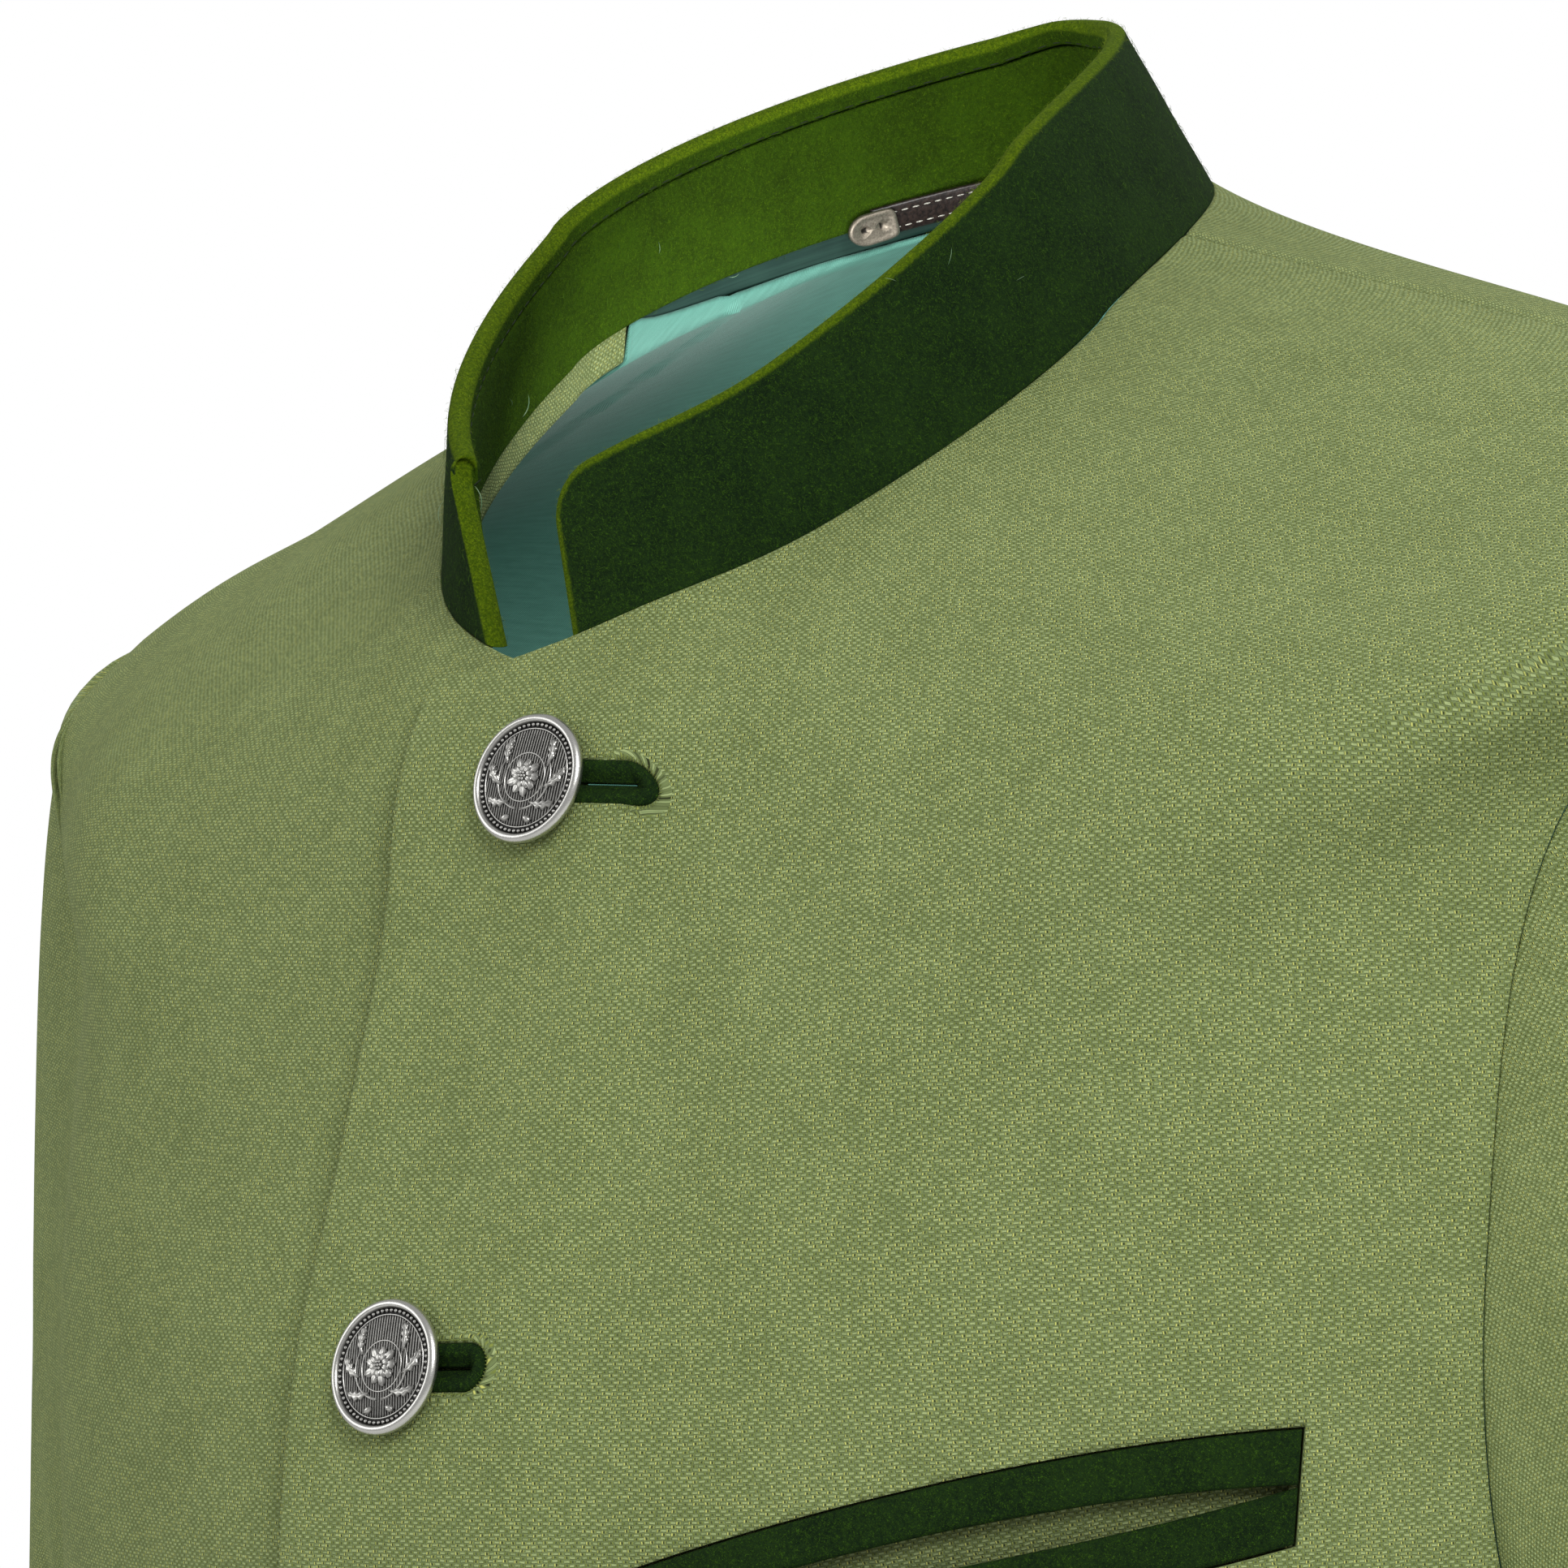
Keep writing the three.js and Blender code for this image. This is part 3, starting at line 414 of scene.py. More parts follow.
def seam_angle(front, v):
    """The outer boundary of a front or back: side seam, armhole, then shoulder seam."""
    v = np.asarray(v, float)
    gap = np.degrees(SEAM_GAP / ring("width", v)) * (-1 if front else 1)
    turned = np.clip(1 - 2 * (v - V_ARMPIT) / (V_SHOULDER - V_ARMPIT), -1, 1)
    around = armhole(front, np.arccos(turned) / np.pi)[0]
    up = (v - V_SHOULDER) / (1 - V_SHOULDER)
    shoulder = blend(SHOULDER_TIP, SHOULDER_NECK, up)
    return np.where(v <= V_ARMPIT, SIDE_SEAM, np.where(v >= V_SHOULDER, shoulder, around)) + gap


NECK_START = body(NECK_LINE["from"], 1.0)


def neckline_v(theta):
    """The neckline: a ring, but straight and falling where a front comes to its corner."""
    p = body(theta, 1.0)
    line = NECK_START[2] - NECK_LINE["slope"] * (NECK_START[0] - p[..., 0])
    straight = 1 - (p[..., 2] - line) / NECK_LINE["rise"]
    return np.where((p[..., 0] > NECK_START[0]) | (np.abs(theta) > 90), 1.0, straight)


def front_row(theta, row):
    """v of a row of a front: above the yoke the rows bend down to its neckline."""
    return np.where(row <= V_YOKE, row, blend(V_YOKE, neckline_v(theta), (row - V_YOKE) / (1 - V_YOKE)))


def angle_in_row(x, row):
    theta = angle_at_x(x, row)
    for _ in range(12):
        theta = angle_at_x(x, front_row(theta, row))
    return theta


def overlap_lift(theta, v):
    """How far the left front is lifted by the right front that it laps over."""
    share = smooth(body(theta, v)[..., 0], LAP["to"], LAP["from"])
    return np.where(np.abs(theta) > 90, 0, LAP["lift"] * (1 - share))


print("neckline corner at", body(0.0, neckline_v(0.0)).round(1))

# %% [markdown]
# ## Cloth as a thin shell
# Real cloth has two faces and a folded or sewn edge, never a knife edge. Solidify would give a
# square edge, so each panel is built as an outer and an inner grid that share their border. Near
# the border the two faces curve towards each other as a turned edge does, and where panels are
# sewn together the same curve makes the soft groove of a seam. The grid lines crowd together at
# the border so that the curve is really round.
# Each shell also carries its flat pattern as a UV map in metres: the grain of the cloth is
# followed from point to point, so that threads run where they would on the real jacket.

# %% Meshes from grids
EDGE_STEPS = np.array([0, 0.12, 0.35, 0.75, 1.4])


def add_object(name, points, faces, materials=(), uvs=None, values=None):
    """A mesh object from points in millimetres, with a pattern and named values for its points."""
    mesh = bpy.data.meshes.new(name)
    mesh.from_pydata((np.asarray(points) * MM).tolist(), [], np.asarray(faces).tolist())
    if uvs is not None:
        layer = mesh.uv_layers.new(name=PATTERN)
        corners = np.zeros(len(mesh.loops), np.int64)
        mesh.loops.foreach_get("vertex_index", corners)
        layer.data.foreach_set("uv", (np.asarray(uvs)[corners] * MM).astype(np.float32).ravel())
    for key, list_of_values in (values or {}).items():
        attribute = mesh.attributes.new(key, "FLOAT", "POINT")
        attribute.data.foreach_set("value", np.asarray(list_of_values, np.float32))
    for material in materials:
        mesh.materials.append(material)
    mesh.polygons.foreach_set("use_smooth", np.ones(len(mesh.polygons), bool))
    mesh.update()
    made = bpy.data.objects.new(name, mesh)
    bpy.context.scene.collection.objects.link(made)
    return made


def grid_faces(index):
    """Quads of a grid of point numbers, facing out where rows run up and columns to the left."""
    a, b = index[:-1, :-1], index[:-1, 1:]
    c, d = index[1:, 1:], index[1:, :-1]
    return np.stack([a, b, c, d], -1).reshape(-1, 4)


def shell_mesh(name, outer, inner, materials, uv=None, values=None):
    """A closed shell from an outer and an inner grid that meet along their border."""
    rows, cols = outer.shape[:2]
    first = np.arange(rows * cols).reshape(rows, cols)
    second = first.copy()
    inside = np.arange((rows - 2) * (cols - 2)).reshape(rows - 2, cols - 2) + rows * cols
    second[1:-1, 1:-1] = inside
    points = np.concatenate([outer.reshape(-1, 3), inner[1:-1, 1:-1].reshape(-1, 3)])
    faces = np.concatenate([grid_faces(first), grid_faces(second)[:, ::-1]])

    def both(grid):
        return np.concatenate([grid.reshape(rows * cols, -1), grid[1:-1, 1:-1].reshape(inside.size, -1)])

    uvs = None if uv is None else both(uv)
    values = {key: both(grid)[:, 0] for key, grid in (values or {}).items()}
    if "inside" in values:
        values["inside"][rows * cols :] = 1
    return add_object(name, points, faces, materials, uvs, values)


print("steps at a turned edge:", EDGE_STEPS, "mm")

# %% [markdown]
# A free edge is round, because the cloth is folded over there. Where two pieces are sewn together
# the turn is tighter, which leaves the thin groove of a seam between them.


# %% Edges
def edge_distance(points, sides="lrbt"):
    """Millimetres along the cloth from each grid point to the nearest of the named borders."""
    across = np.linalg.norm(np.diff(points, axis=1), axis=-1).cumsum(1)
    across = np.concatenate([np.zeros((len(points), 1)), across], 1)
    along = np.linalg.norm(np.diff(points, axis=0), axis=-1).cumsum(0)
    along = np.concatenate([np.zeros((1, points.shape[1])), along])
    distances = {"l": across, "r": across[:, -1:] - across, "b": along, "t": along[-1:] - along}
    return np.min([distances[side] for side in sides], axis=0)


def edge_drop(distance, half):
    """How far each face curves in near a border, for a wall of twice half."""
    share = 1 - np.clip(distance / half, 0, 1)
    return half * (1 - np.sqrt(1 - share**2))


SEWN_TIGHTER = 1.6


def sewn_drop(points, free, sewn, half):
    """The same with round free edges, and tighter ones where it is sewn to its neighbour."""
    near_seam = edge_distance(points, sewn) * SEWN_TIGHTER
    return edge_drop(np.minimum(edge_distance(points, free), near_seam), half)


def crowded(low, high, step, scale=1.0, ends="both"):
    """Values from low to high, about step apart, crowding at the ends as a turned edge needs."""
    near = EDGE_STEPS * scale
    inner_low = low + near[-1] if ends in ("both", "low") else low
    inner_high = high - near[-1] if ends in ("both", "high") else high
    count = max(2, int(round((inner_high - inner_low) / step)))
    middle = np.linspace(inner_low, inner_high, count + 1)
    start = low + near[:-1] if ends in ("both", "low") else []
    finish = (high - near[:-1])[::-1] if ends in ("both", "high") else []
    return np.concatenate([start, middle, finish])


print("values crowding at both ends:", crowded(0, 10, 2).round(2))

# %% [markdown]
# The weave has to lie on the cloth as it does on the cutting table. The pattern follows the grain
# from point to point, and its extent is also the size that the cloth is cut to, which every piece
# declares.


# %% The flat pattern of a panel
def flat_pattern(points, normals, reference, start=0):
    """Where each grid point lies on the flat cloth, in millimetres, grain running up.

    The threads are followed up and down each column from a reference row, whose own length
    gives the places across."""
    row_steps = np.diff(points[reference], axis=0)
    across = np.concatenate([[0], np.linalg.norm(row_steps, axis=-1).cumsum()])
    across -= across[start]
    weft = unit(np.gradient(points[reference], axis=0))[None]
    weft = unit(weft - (weft * normals).sum(-1, keepdims=True) * normals)
    warp = np.cross(normals, weft)
    steps = np.diff(points, axis=0)
    moves = []
    for threads in (weft, warp):
        mean = (threads[1:] + threads[:-1]) / 2
        sums = np.concatenate([np.zeros((1, points.shape[1])), (steps * mean).sum(-1).cumsum(0)])
        moves.append(sums - sums[reference])
    return np.stack([moves[0] + across, moves[1]], -1)


def cut_size(uv):
    """Width, length and area of a flat pattern, in metres and square metres."""
    size = (uv.reshape(-1, 2).max(0) - uv.reshape(-1, 2).min(0)) * MM
    a, b = uv[1:, 1:] - uv[:-1, :-1], uv[1:, :-1] - uv[:-1, 1:]
    area = np.abs(a[..., 0] * b[..., 1] - a[..., 1] * b[..., 0]).sum() / 2 * MM**2
    return float(size[0]), float(size[1]), float(area)


CUTS = {}


def finish_cloth(piece, node, size, turned=0.0):
    """Attaches a cloth piece, hides the solid it stands for and records the size it was cut to.

    An edge that is turned in and pressed flat adds to the cut length, but no cloth here.
    """
    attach(piece, ROOT)
    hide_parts(*([node] if isinstance(node, str) else node))
    width, length, measured = size
    flat_area = min(measured, width * length)
    length += turned * MM
    CUTS[piece.name] = [round(width * 1000), round(length * 1000), round(flat_area * 1e4)]
    print(piece.name, "cut", CUTS[piece.name], "faces", len(piece.data.polygons))


print("cloth", CLOTH, "mm, felt", FELT, "mm, facing", FACING, "mm, lining", LINING, "mm")

# %% [markdown]
# ## The linen
# The cloth is a coarse linen in a brick weave. Pale green weft floats, a millimetre long, lie in
# rows six tenths of a millimetre high, and each row is set half a repeat beside the last. Between
# two floats a pair of warp threads comes up, yellow and green, with a hollow between them that is
# darkened with painted shade, as are thin outlines round the floats.
# An image would do this, but maths on the flat pattern does it at any distance: whole parts of the
# coordinates say which float, fractional parts say where in it. Slubs and uneven dye come from
# noise stretched along the threads, because that is how yarn is spun thick and thin.

# %% Linen
WEAVE = {"row": 0.6, "repeat": 1.9, "depth": 0.17}
MOSS = linear(134, 150, 98)
MOSS_LIGHT = linear(172, 187, 128)
GAP_GREEN = linear(94, 106, 60)
HOLLOW_SHADE = linear(36, 42, 16)
WARP_GREEN = linear(126, 138, 58)
WARP_YELLOW = linear(226, 228, 124)


def linen_finish(name="moss_linen", shade=1.0):
    cloth = Finish(name)
    u, v = cloth.across_and_up()
    flow = cloth.joined(u, v)
    u = u + (cloth.noise(flow, 0.35, detail=2.0) - 0.5) * 0.9
    v = v + (cloth.noise(flow, 0.22, detail=2.0) - 0.5) * 0.7
    rows = v / WEAVE["row"]
    row = rows.floor()
    repeats = u / WEAVE["repeat"] + row * 0.5 + cloth.chance(cloth.joined(row, 7.0)) * 0.12
    place = cloth.joined(repeats.floor(), row)
    yarn, luck = cloth.chance(place), cloth.chance(cloth.joined(repeats.floor() + 31, row))
    x = repeats.part() + (yarn - 0.5) * 0.2
    y = (rows.part() * 2 - 1).size()

    def band(middle, half, soft):
        """1 where x is within half of the middle, fading out over soft."""
        return (x - middle).size().fade(half + soft, half)

    weft = band(0.27, 0.2, 0.07) * y.fade(0.86, 0.42)
    first = band(0.6, 0.025, 0.055) * y.fade(1.0, 0.5)
    second = band(0.9, 0.025, 0.05) * y.fade(1.0, 0.45)
    hollow = band(0.75, 0.02, 0.055) * y.fade(0.9, 0.3)
    outline = ((weft - 0.35).size().fade(0.33, 0.0)).most((first - 0.4).size().fade(0.3, 0.0) * 0.7)
    slub = cloth.noise(cloth.joined(u * 0.06, v * 1.5), 1.0, detail=3.0, rough=0.65)
    warp_slub = cloth.noise(cloth.joined(u * 1.1, v * 0.03, 5.0), 1.0, detail=2.0, rough=0.6)
    dye = cloth.noise(cloth.joined(u, v, 9.0), 0.06, detail=4.0, rough=0.65)
    hair = cloth.noise(cloth.joined(u * 0.6, v * 1.4, 3.0), 4.6, detail=3.0, rough=0.75)
    lightness = yarn * 0.4 + slub * 0.45 + (dye - 0.5) * 0.4 + (hair - 0.5) * 1.5
    ground = cloth.mix((hair + dye * 0.25).fade(0.33, 0.87), GAP_GREEN, MOSS)
    tone = cloth.mix(weft, ground, cloth.mix(lightness.fade(0.05, 0.8), MOSS, MOSS_LIGHT))
    # Painted shade: the hollows between warp threads and thin outlines round the weft floats are darkened.
    dark = (hollow * (luck * 0.5 + 0.5)).most(outline * (hair.fade(0.2, 0.7) * 0.7 + 0.3))
    tone = cloth.mix(dark, tone, HOLLOW_SHADE)
    gleam = (luck * 0.7 + warp_slub * 0.7).fade(0.58, 0.9)
    tone = cloth.mix(first * 0.85, tone, cloth.mix(gleam, WARP_GREEN, WARP_YELLOW))
    tone = cloth.mix(second * 0.7, tone, cloth.mix(gleam * 0.4, WARP_GREEN, WARP_YELLOW))
    # Painted shade: a shade below 1 darkens the linen's colour toward black, for pieces that lie in shadow.
    if shade < 1:
        tone = cloth.mix(1 - shade, tone, linear(0, 0, 0))
    height = weft * 0.8 + first * 0.55 + second * 0.5 - hollow * 0.3
    relief = height + slub * 0.3 + warp_slub * 0.3 + hair * 0.2
    cloth.set(
        Base_Color=tone,
        Roughness=0.88,
        Specular_IOR_Level=0.2,
        Normal=cloth.bump(relief, WEAVE["depth"]),
    )
    return cloth.material


LINEN = linen_finish()
print("linen nodes:", len(LINEN.node_tree.nodes))

# %% [markdown]
# ## Folds
# Worn linen is never flat. The fronts hang from the shoulders in long shallow waves, the cloth
# pulls a little at each buttonhole, and it dips under the collar seam. A simulation would give
# other folds each time the cloth or the settings change, so the folds are placed one by one: each is
# a soft trough or ridge, added along the surface normal, with its own length, width and depth.


# %% Fold helpers
def ridge(x, z, start, end, height, width):
    """A ridge, or a trough where height is negative, fading out at both ends of a line."""
    start, end = np.array(start, float), np.array(end, float)
    run = end - start
    length = np.linalg.norm(run)
    along = ((x - start[0]) * run[0] + (z - start[1]) * run[1]) / length
    aside = ((x - start[0]) * run[1] - (z - start[1]) * run[0]) / length
    middle = (along - length / 2) / (length / 2)
    return height * np.exp(-((aside / width) ** 2)) * np.exp(-(middle**2) * 1.2)


def waves(x, z, size=0.28):
    """Slow unevenness that all hanging cloth has."""
    return size * (
        np.sin(x / 17 + 0.7 * np.sin(z / 61))
        + 0.8 * np.sin(x / 29 + z / 83 + 1.3)
        + 0.5 * np.sin(z / 23 - x / 47 + 0.4)
    ) / 2.3


x = np.linspace(0, 150, 4)
print("waves of the cloth at breast height:", waves(x, -200.0).round(2), "mm")

# %% [markdown]
# Cloth is drawn in round what holds it. The buttons come first, because the pulls start at them:
# short troughs that run out from the end of each buttonhole, a ridge on either side, and the lap
# of the left front, whose edge stands off a little.

# %% Buttons and the folds round them
BUTTONS = {"x": [11.8, 3, 0, 0, 0], "first": 25.3, "pitch": 102.1, "stand": 3.1}
HOLE = {"from": -4.6, "reach": [22.9, 19.4, 19.4, 19.4, 19.4], "fall": [0.12, 0, 0, 0, 0], "half": 4.0}


LAP_EDGE = {"rise": 1.5, "width": 13}  # how the free edge of the left front stands off


def centre_front_v(distance):
    """The centre front at a distance down from the neckline, measured along the cloth."""
    v = np.linspace(float(neckline_v(0.0)), 0, 4001)
    length = np.linalg.norm(np.diff(body(0.0, v), axis=0), axis=1).cumsum()
    return float(np.interp(distance, np.concatenate([[0], length]), v))


def button_place(i):
    """Where a button sits, and how long its hole is and how much it slopes."""
    v = centre_front_v(BUTTONS["first"] + i * BUTTONS["pitch"])
    x = BUTTONS["x"][i]
    theta = float(angle_at_x(x, v))
    return {"x": x, "v": v, "theta": theta, "reach": HOLE["reach"][i], "fall": HOLE["fall"][i]}


PLACES = [button_place(i) for i in range(len(BUTTONS["x"]))]


def front_folds(theta, v, left=True):
    """Millimetres by which a front stands out from the smooth form."""
    p = body(theta, v)
    x, z = p[..., 0], p[..., 2]
    out = waves(x + (0 if left else 40), z)
    out = out + ridge(x, z, (118, -60), (128, -330), 0.9, 16)
    out = out + ridge(x, z, (152, -150), (140, -380), -1.1, 13)
    out = out + ridge(x, z, (70, -120), (82, -420), -0.7, 20)
    if left:
        out = out + LAP_EDGE["rise"] * np.exp(-(((x + FRONT_EDGE) / LAP_EDGE["width"]) ** 2))
        for place in PLACES:
            aside, _, height = body(place["theta"], place["v"])
            out = out + ridge(x, z, (aside + 24, height), (aside + 62, height - 3), -0.55, 4)
            out = out + ridge(x, z, (aside + 14, height + 9), (aside + 48, height + 14), 0.4, 4.5)
            out = out + ridge(x, z, (aside + 14, height - 9), (aside + 48, height - 17), 0.45, 5)
            out = out + ridge(x, z, (aside - 19, height + 4), (aside - 4, height + 30), 0.35, 6)
        out = out + ridge(x, z, (12, -86), (52, -70), -0.9, 5)
        out = out + ridge(x, z, (16, -96), (66, -76), 0.5, 6)
    out = out + ridge(x, z, (30, -560), (60, -722), 1.6, 14)
    out = out + ridge(x, z, (95, -470), (110, -722), -2.0, 18)
    out = out + ridge(x, z, (140, -500), (150, -722), 1.8, 15)
    return out


print("buttons at", [body(place["theta"], place["v"]).round(0).tolist() for place in PLACES])

# %% [markdown]
# ## The fronts
# Each front runs from its turned edge, 19.5 mm past the centre, round to the side seam and the
# armhole, and up to the shoulder seam. The left front laps over the right one, so it is lifted
# there. Buttonholes and the pocket slit are cut through it with a Boolean modifier, because the
# holes are real openings through which the shanks and the pocket show.

# %% Rows and columns of the fronts
ROW_STEP = {"skirt": 5.5, "chest": 2.2}


def panel_rows():
    """v of the rows of a panel, crowding at hem and neckline, fine above the waist."""
    lower = np.linspace(0, V_ARMPIT - 0.05, int(370 / ROW_STEP["skirt"]))
    upper = np.linspace(V_ARMPIT - 0.05, 1, int(330 / ROW_STEP["chest"]))
    hem, neck = EDGE_STEPS / 700, EDGE_STEPS / 450
    inside = np.concatenate([lower, upper[1:]])
    inside = inside[(inside > hem[-1] + 0.002) & (inside < 1 - neck[-1] - 0.002)]
    return np.concatenate([hem, inside, 1 - neck[::-1]])


PANEL_ROWS = panel_rows()
CHEST_ROW = int(np.argmin(np.abs(PANEL_ROWS - 0.6)))
LAP_STEP = 1.5
FRONT_X = np.arange(-FRONT_EDGE + EDGE_STEPS[-1], LAP["from"], LAP_STEP)
FRONT_X = np.concatenate([-FRONT_EDGE + EDGE_STEPS[:-1], FRONT_X, [LAP["from"]]])
BEYOND = crowded(0, 1, 1 / 62, scale=1 / 150, ends="high")[1:]


def front_grid():
    """Angles and heights of the grid points of a front."""
    row = PANEL_ROWS[:, None]
    near = angle_in_row(FRONT_X[None], row)
    last = near[:, -1:]
    beyond = last + (seam_angle(True, row) - last) * BEYOND
    theta = np.concatenate([near, beyond], 1)
    return theta, front_row(theta, row)


SEAM_SINK = {"depth": 0.35, "width": 2.2}
SEAM_HOLD = 14  # how far from a seam the folds are held flat


def front_panel(name, theta, v, lift):
    """A closed shell over a grid of the body surface, and its flat pattern."""
    normals = body_normals(theta, v)
    base = body(theta, v)
    drop = sewn_drop(base, "lb", "rt", CLOTH / 2)[..., None]
    sewn = SEAM_SINK["depth"] * np.exp(-((edge_distance(base, "r") / SEAM_SINK["width"]) ** 2))
    held = smooth(edge_distance(base, "r"), 0, SEAM_HOLD)
    out = (lift * held - sewn)[..., None]
    outer = base + normals * (out - drop)
    inner = base + normals * (out - CLOTH + drop)
    uv = flat_pattern(base, normals, CHEST_ROW)
    return shell_mesh(name, outer, inner, [LINEN], uv), uv


front_theta, front_v = front_grid()
lift = overlap_lift(front_theta, front_v) + front_folds(front_theta, front_v)
left_front, left_uv = front_panel("front_left_linen", front_theta, front_v, lift)
print("left front faces", len(left_front.data.polygons))


# %% Openings cut through a panel
CUT_REACH = 6.0


def solid_plate(name, outline, lift):
    """A closed block over an outline of (theta, v) points, right through the cloth."""
    theta, v = outline
    points, normals = body(theta, v), body_normals(theta, v)
    offsets = [np.asarray(lift)[:, None] + side * CUT_REACH for side in (-1, 1)]
    low, high = (points + normals * offset for offset in offsets)
    n = len(theta)
    middle = [low.mean(0), high.mean(0)]
    faces = []
    for i in range(n):
        j = (i + 1) % n
        faces += [[i, j, n + j], [i, n + j, n + i], [2 * n, j, i], [2 * n + 1, n + i, n + j]]
    return add_object(name, np.concatenate([low, high, middle]), faces)


def cut_openings(piece, cutters):
    """Subtracts the cutters from a piece and bakes the result into its mesh."""
    for cutter in cutters:
        boolean = piece.modifiers.new("opening", "BOOLEAN")
        boolean.operation = "DIFFERENCE"
        boolean.solver = "EXACT"
        boolean.object = cutter
    plain_mesh(piece)
    for cutter in cutters:
        bpy.data.meshes.remove(cutter.data)


def plain_mesh(piece):
    """Replaces a piece's mesh by what its modifiers make of it, and removes them."""
    evaluated = piece.evaluated_get(bpy.context.evaluated_depsgraph_get())
    mesh = bpy.data.meshes.new_from_object(evaluated)
    piece.modifiers.clear()
    piece.data = mesh
    mesh.name = piece.name
    mesh.polygons.foreach_set("use_smooth", np.ones(len(mesh.polygons), bool))
    return mesh


print("cutters reach", CUT_REACH, "mm to both sides of the cloth")

# %% [markdown]
# The outlines of the holes are needed twice, for the cut and for the felt that binds it, so each
# is a function of how far it is drawn in. The pocket is a slanting band between two curves, given
# along the share of its length.


# %% Outlines of the openings
def near_button(place, across, up):
    """A point of the left front, in millimetres to the wearer's left of a button and above it."""
    v = place["v"]
    per_v = np.linalg.norm(body(0.0, v + 0.005) - body(0.0, v - 0.005)) / 0.01
    return angle_at_x(place["x"] + across, v), v + (up - across * place["fall"]) / per_v


def hole_outline(place, inset, sides=48):
    """An oval with straight sides and round ends, smaller by inset all round."""
    turn = (np.arange(sides) + 0.5) / sides * 2 * np.pi
    radius = HOLE["half"] - inset
    centre = np.where(np.cos(turn) > 0, place["reach"] - HOLE["half"], HOLE["from"] + HOLE["half"])
    return near_button(place, centre + radius * np.cos(turn), radius * np.sin(turn))


POCKET = {"inner": 17, "outer": 54, "v_inner": 0.6259, "v_outer": 0.6481, "bow": 0.0083}
WELT = {"height": 0.013, "open": 0.0088, "inset": 0.0005}


def pocket_top(share):
    rise = POCKET["bow"] * 4 * share * (1 - share)
    return blend(POCKET["v_inner"], POCKET["v_outer"], share) + rise


def pocket_open(share):
    return WELT["open"] * 4 * share * (1 - share)


def pocket_bottom(share):
    return pocket_top(share) - 2 * WELT["height"] - pocket_open(share)


def pocket_angle(share):
    return blend(POCKET["inner"], POCKET["outer"], share)


def pocket_outline():
    share = np.linspace(0, 1, 25)
    theta = np.concatenate([pocket_angle(share), pocket_angle(share)[::-1]])
    return theta, np.concatenate([pocket_bottom(share), pocket_top(share)[::-1]])


slant = body(POCKET["outer"], pocket_top(1.0)) - body(POCKET["inner"], pocket_top(0.0))
print("pocket", round(float(np.linalg.norm(slant))), "mm long, rising", round(float(slant[2])), "mm")

# %% [markdown]
# A Boolean needs a closed cutter on both sides of the cloth. The cutters are made, used and thrown
# away here, and the front is left as a plain mesh with real holes.

# %% Cut the left front
cutters = []
for number, place in enumerate(PLACES, 1):
    outline = hole_outline(place, 0.2)
    cutters.append(solid_plate(f"hole_cutter_{number}", outline, overlap_lift(*outline)))
outline = pocket_outline()
cutters.append(solid_plate("pocket_cutter", outline, overlap_lift(*outline)))
cut_openings(left_front, cutters)
finish_cloth(left_front, "front_left", cut_size(left_uv))

# %% [markdown]
# ## The right front
# The right front is cut like the left one and turned over. It lies under the lap, so it has no
# holes and keeps flat at the middle, and in front of its shoulder the cloth hangs slack.


# %% The right front
def mirrored(grid):
    """A grid on the other side of the body, its columns turned round so that it faces out."""
    return grid[:, ::-1] * [-1, 1, 1]


def mirrored_shell(name, outer, inner, uv, finish):
    flat = uv[:, ::-1] * [-1, 1]
    return shell_mesh(name, mirrored(outer), mirrored(inner), [finish], flat)


def cloth_layers(base, normals, out, thick, drop):
    """Outer and inner face of a wall that stands out from a base grid."""
    outer = base + normals * (out - drop)[..., None]
    inner = base + normals * (out - thick + drop)[..., None]
    return outer, inner


def shoulder_hollow(points):
    """Cloth hangs slack in front of the right shoulder, which is held lower than the left one."""
    return -ridge(points[..., 0], points[..., 2], (217, -52), (138, -128), -9.0, 21)


def seam_sink(points, sides, depth=SEAM_SINK["depth"], width=SEAM_SINK["width"]):
    """The shallow valley that a seam draws into the cloth."""
    return depth * np.exp(-((edge_distance(points, sides) / width) ** 2))


base, normals = body(front_theta, front_v), body_normals(front_theta, front_v)
drop = sewn_drop(base, "lb", "rt", CLOTH / 2)
out = front_folds(front_theta, front_v, left=False) * smooth(base[..., 0], 0, 40)
out = out - shoulder_hollow(base) * smooth(edge_distance(base, "t"), 0, SEAM_HOLD)
out = out * smooth(edge_distance(base, "r"), 0, SEAM_HOLD)
out = out - 0.5 * np.exp(-(((base[..., 0] - FRONT_EDGE) / 9) ** 2)) - seam_sink(base, "r")
outer, inner = cloth_layers(base, normals, out, CLOTH, drop)
right_front = mirrored_shell("front_right_linen", outer, inner, left_uv + [4, 3], LINEN)
finish_cloth(right_front, "front_right", cut_size(left_uv))

# %% [markdown]
# ## The back
# The back is one wide panel between the side seams, the armholes and the shoulder seams. A back
# has its own folds: long soft ones that fall from the shoulder blades, and a hollow at the waist.


# %% Back
def back_folds(theta, v):
    p = body(theta, v)
    x, z = p[..., 0], p[..., 2]
    out = waves(x + 90, z, 0.4)
    for side in (-1, 1):
        out = out + ridge(x, z, (side * 92, -110), (side * 120, -340), 1.6, 17)
        out = out + ridge(x, z, (side * 128, -150), (side * 138, -400), -1.6, 12)
        out = out + ridge(x, z, (side * 55, -380), (side * 88, -716), -2.2, 17)
        out = out + ridge(x, z, (side * 100, -450), (side * 125, -716), 2.2, 16)
    out = out + ridge(x, z, (-70, -372), (58, -392), 1.4, 9)
    out = out + ridge(x, z, (-44, -404), (84, -420), -1.2, 8)
    return out + ridge(x, z, (-10, -300), (6, -716), 1.6, 24)


BACK_SHARES = crowded(0, 1, 1 / 118, scale=1 / 360)
BACK_ROWS = PANEL_ROWS


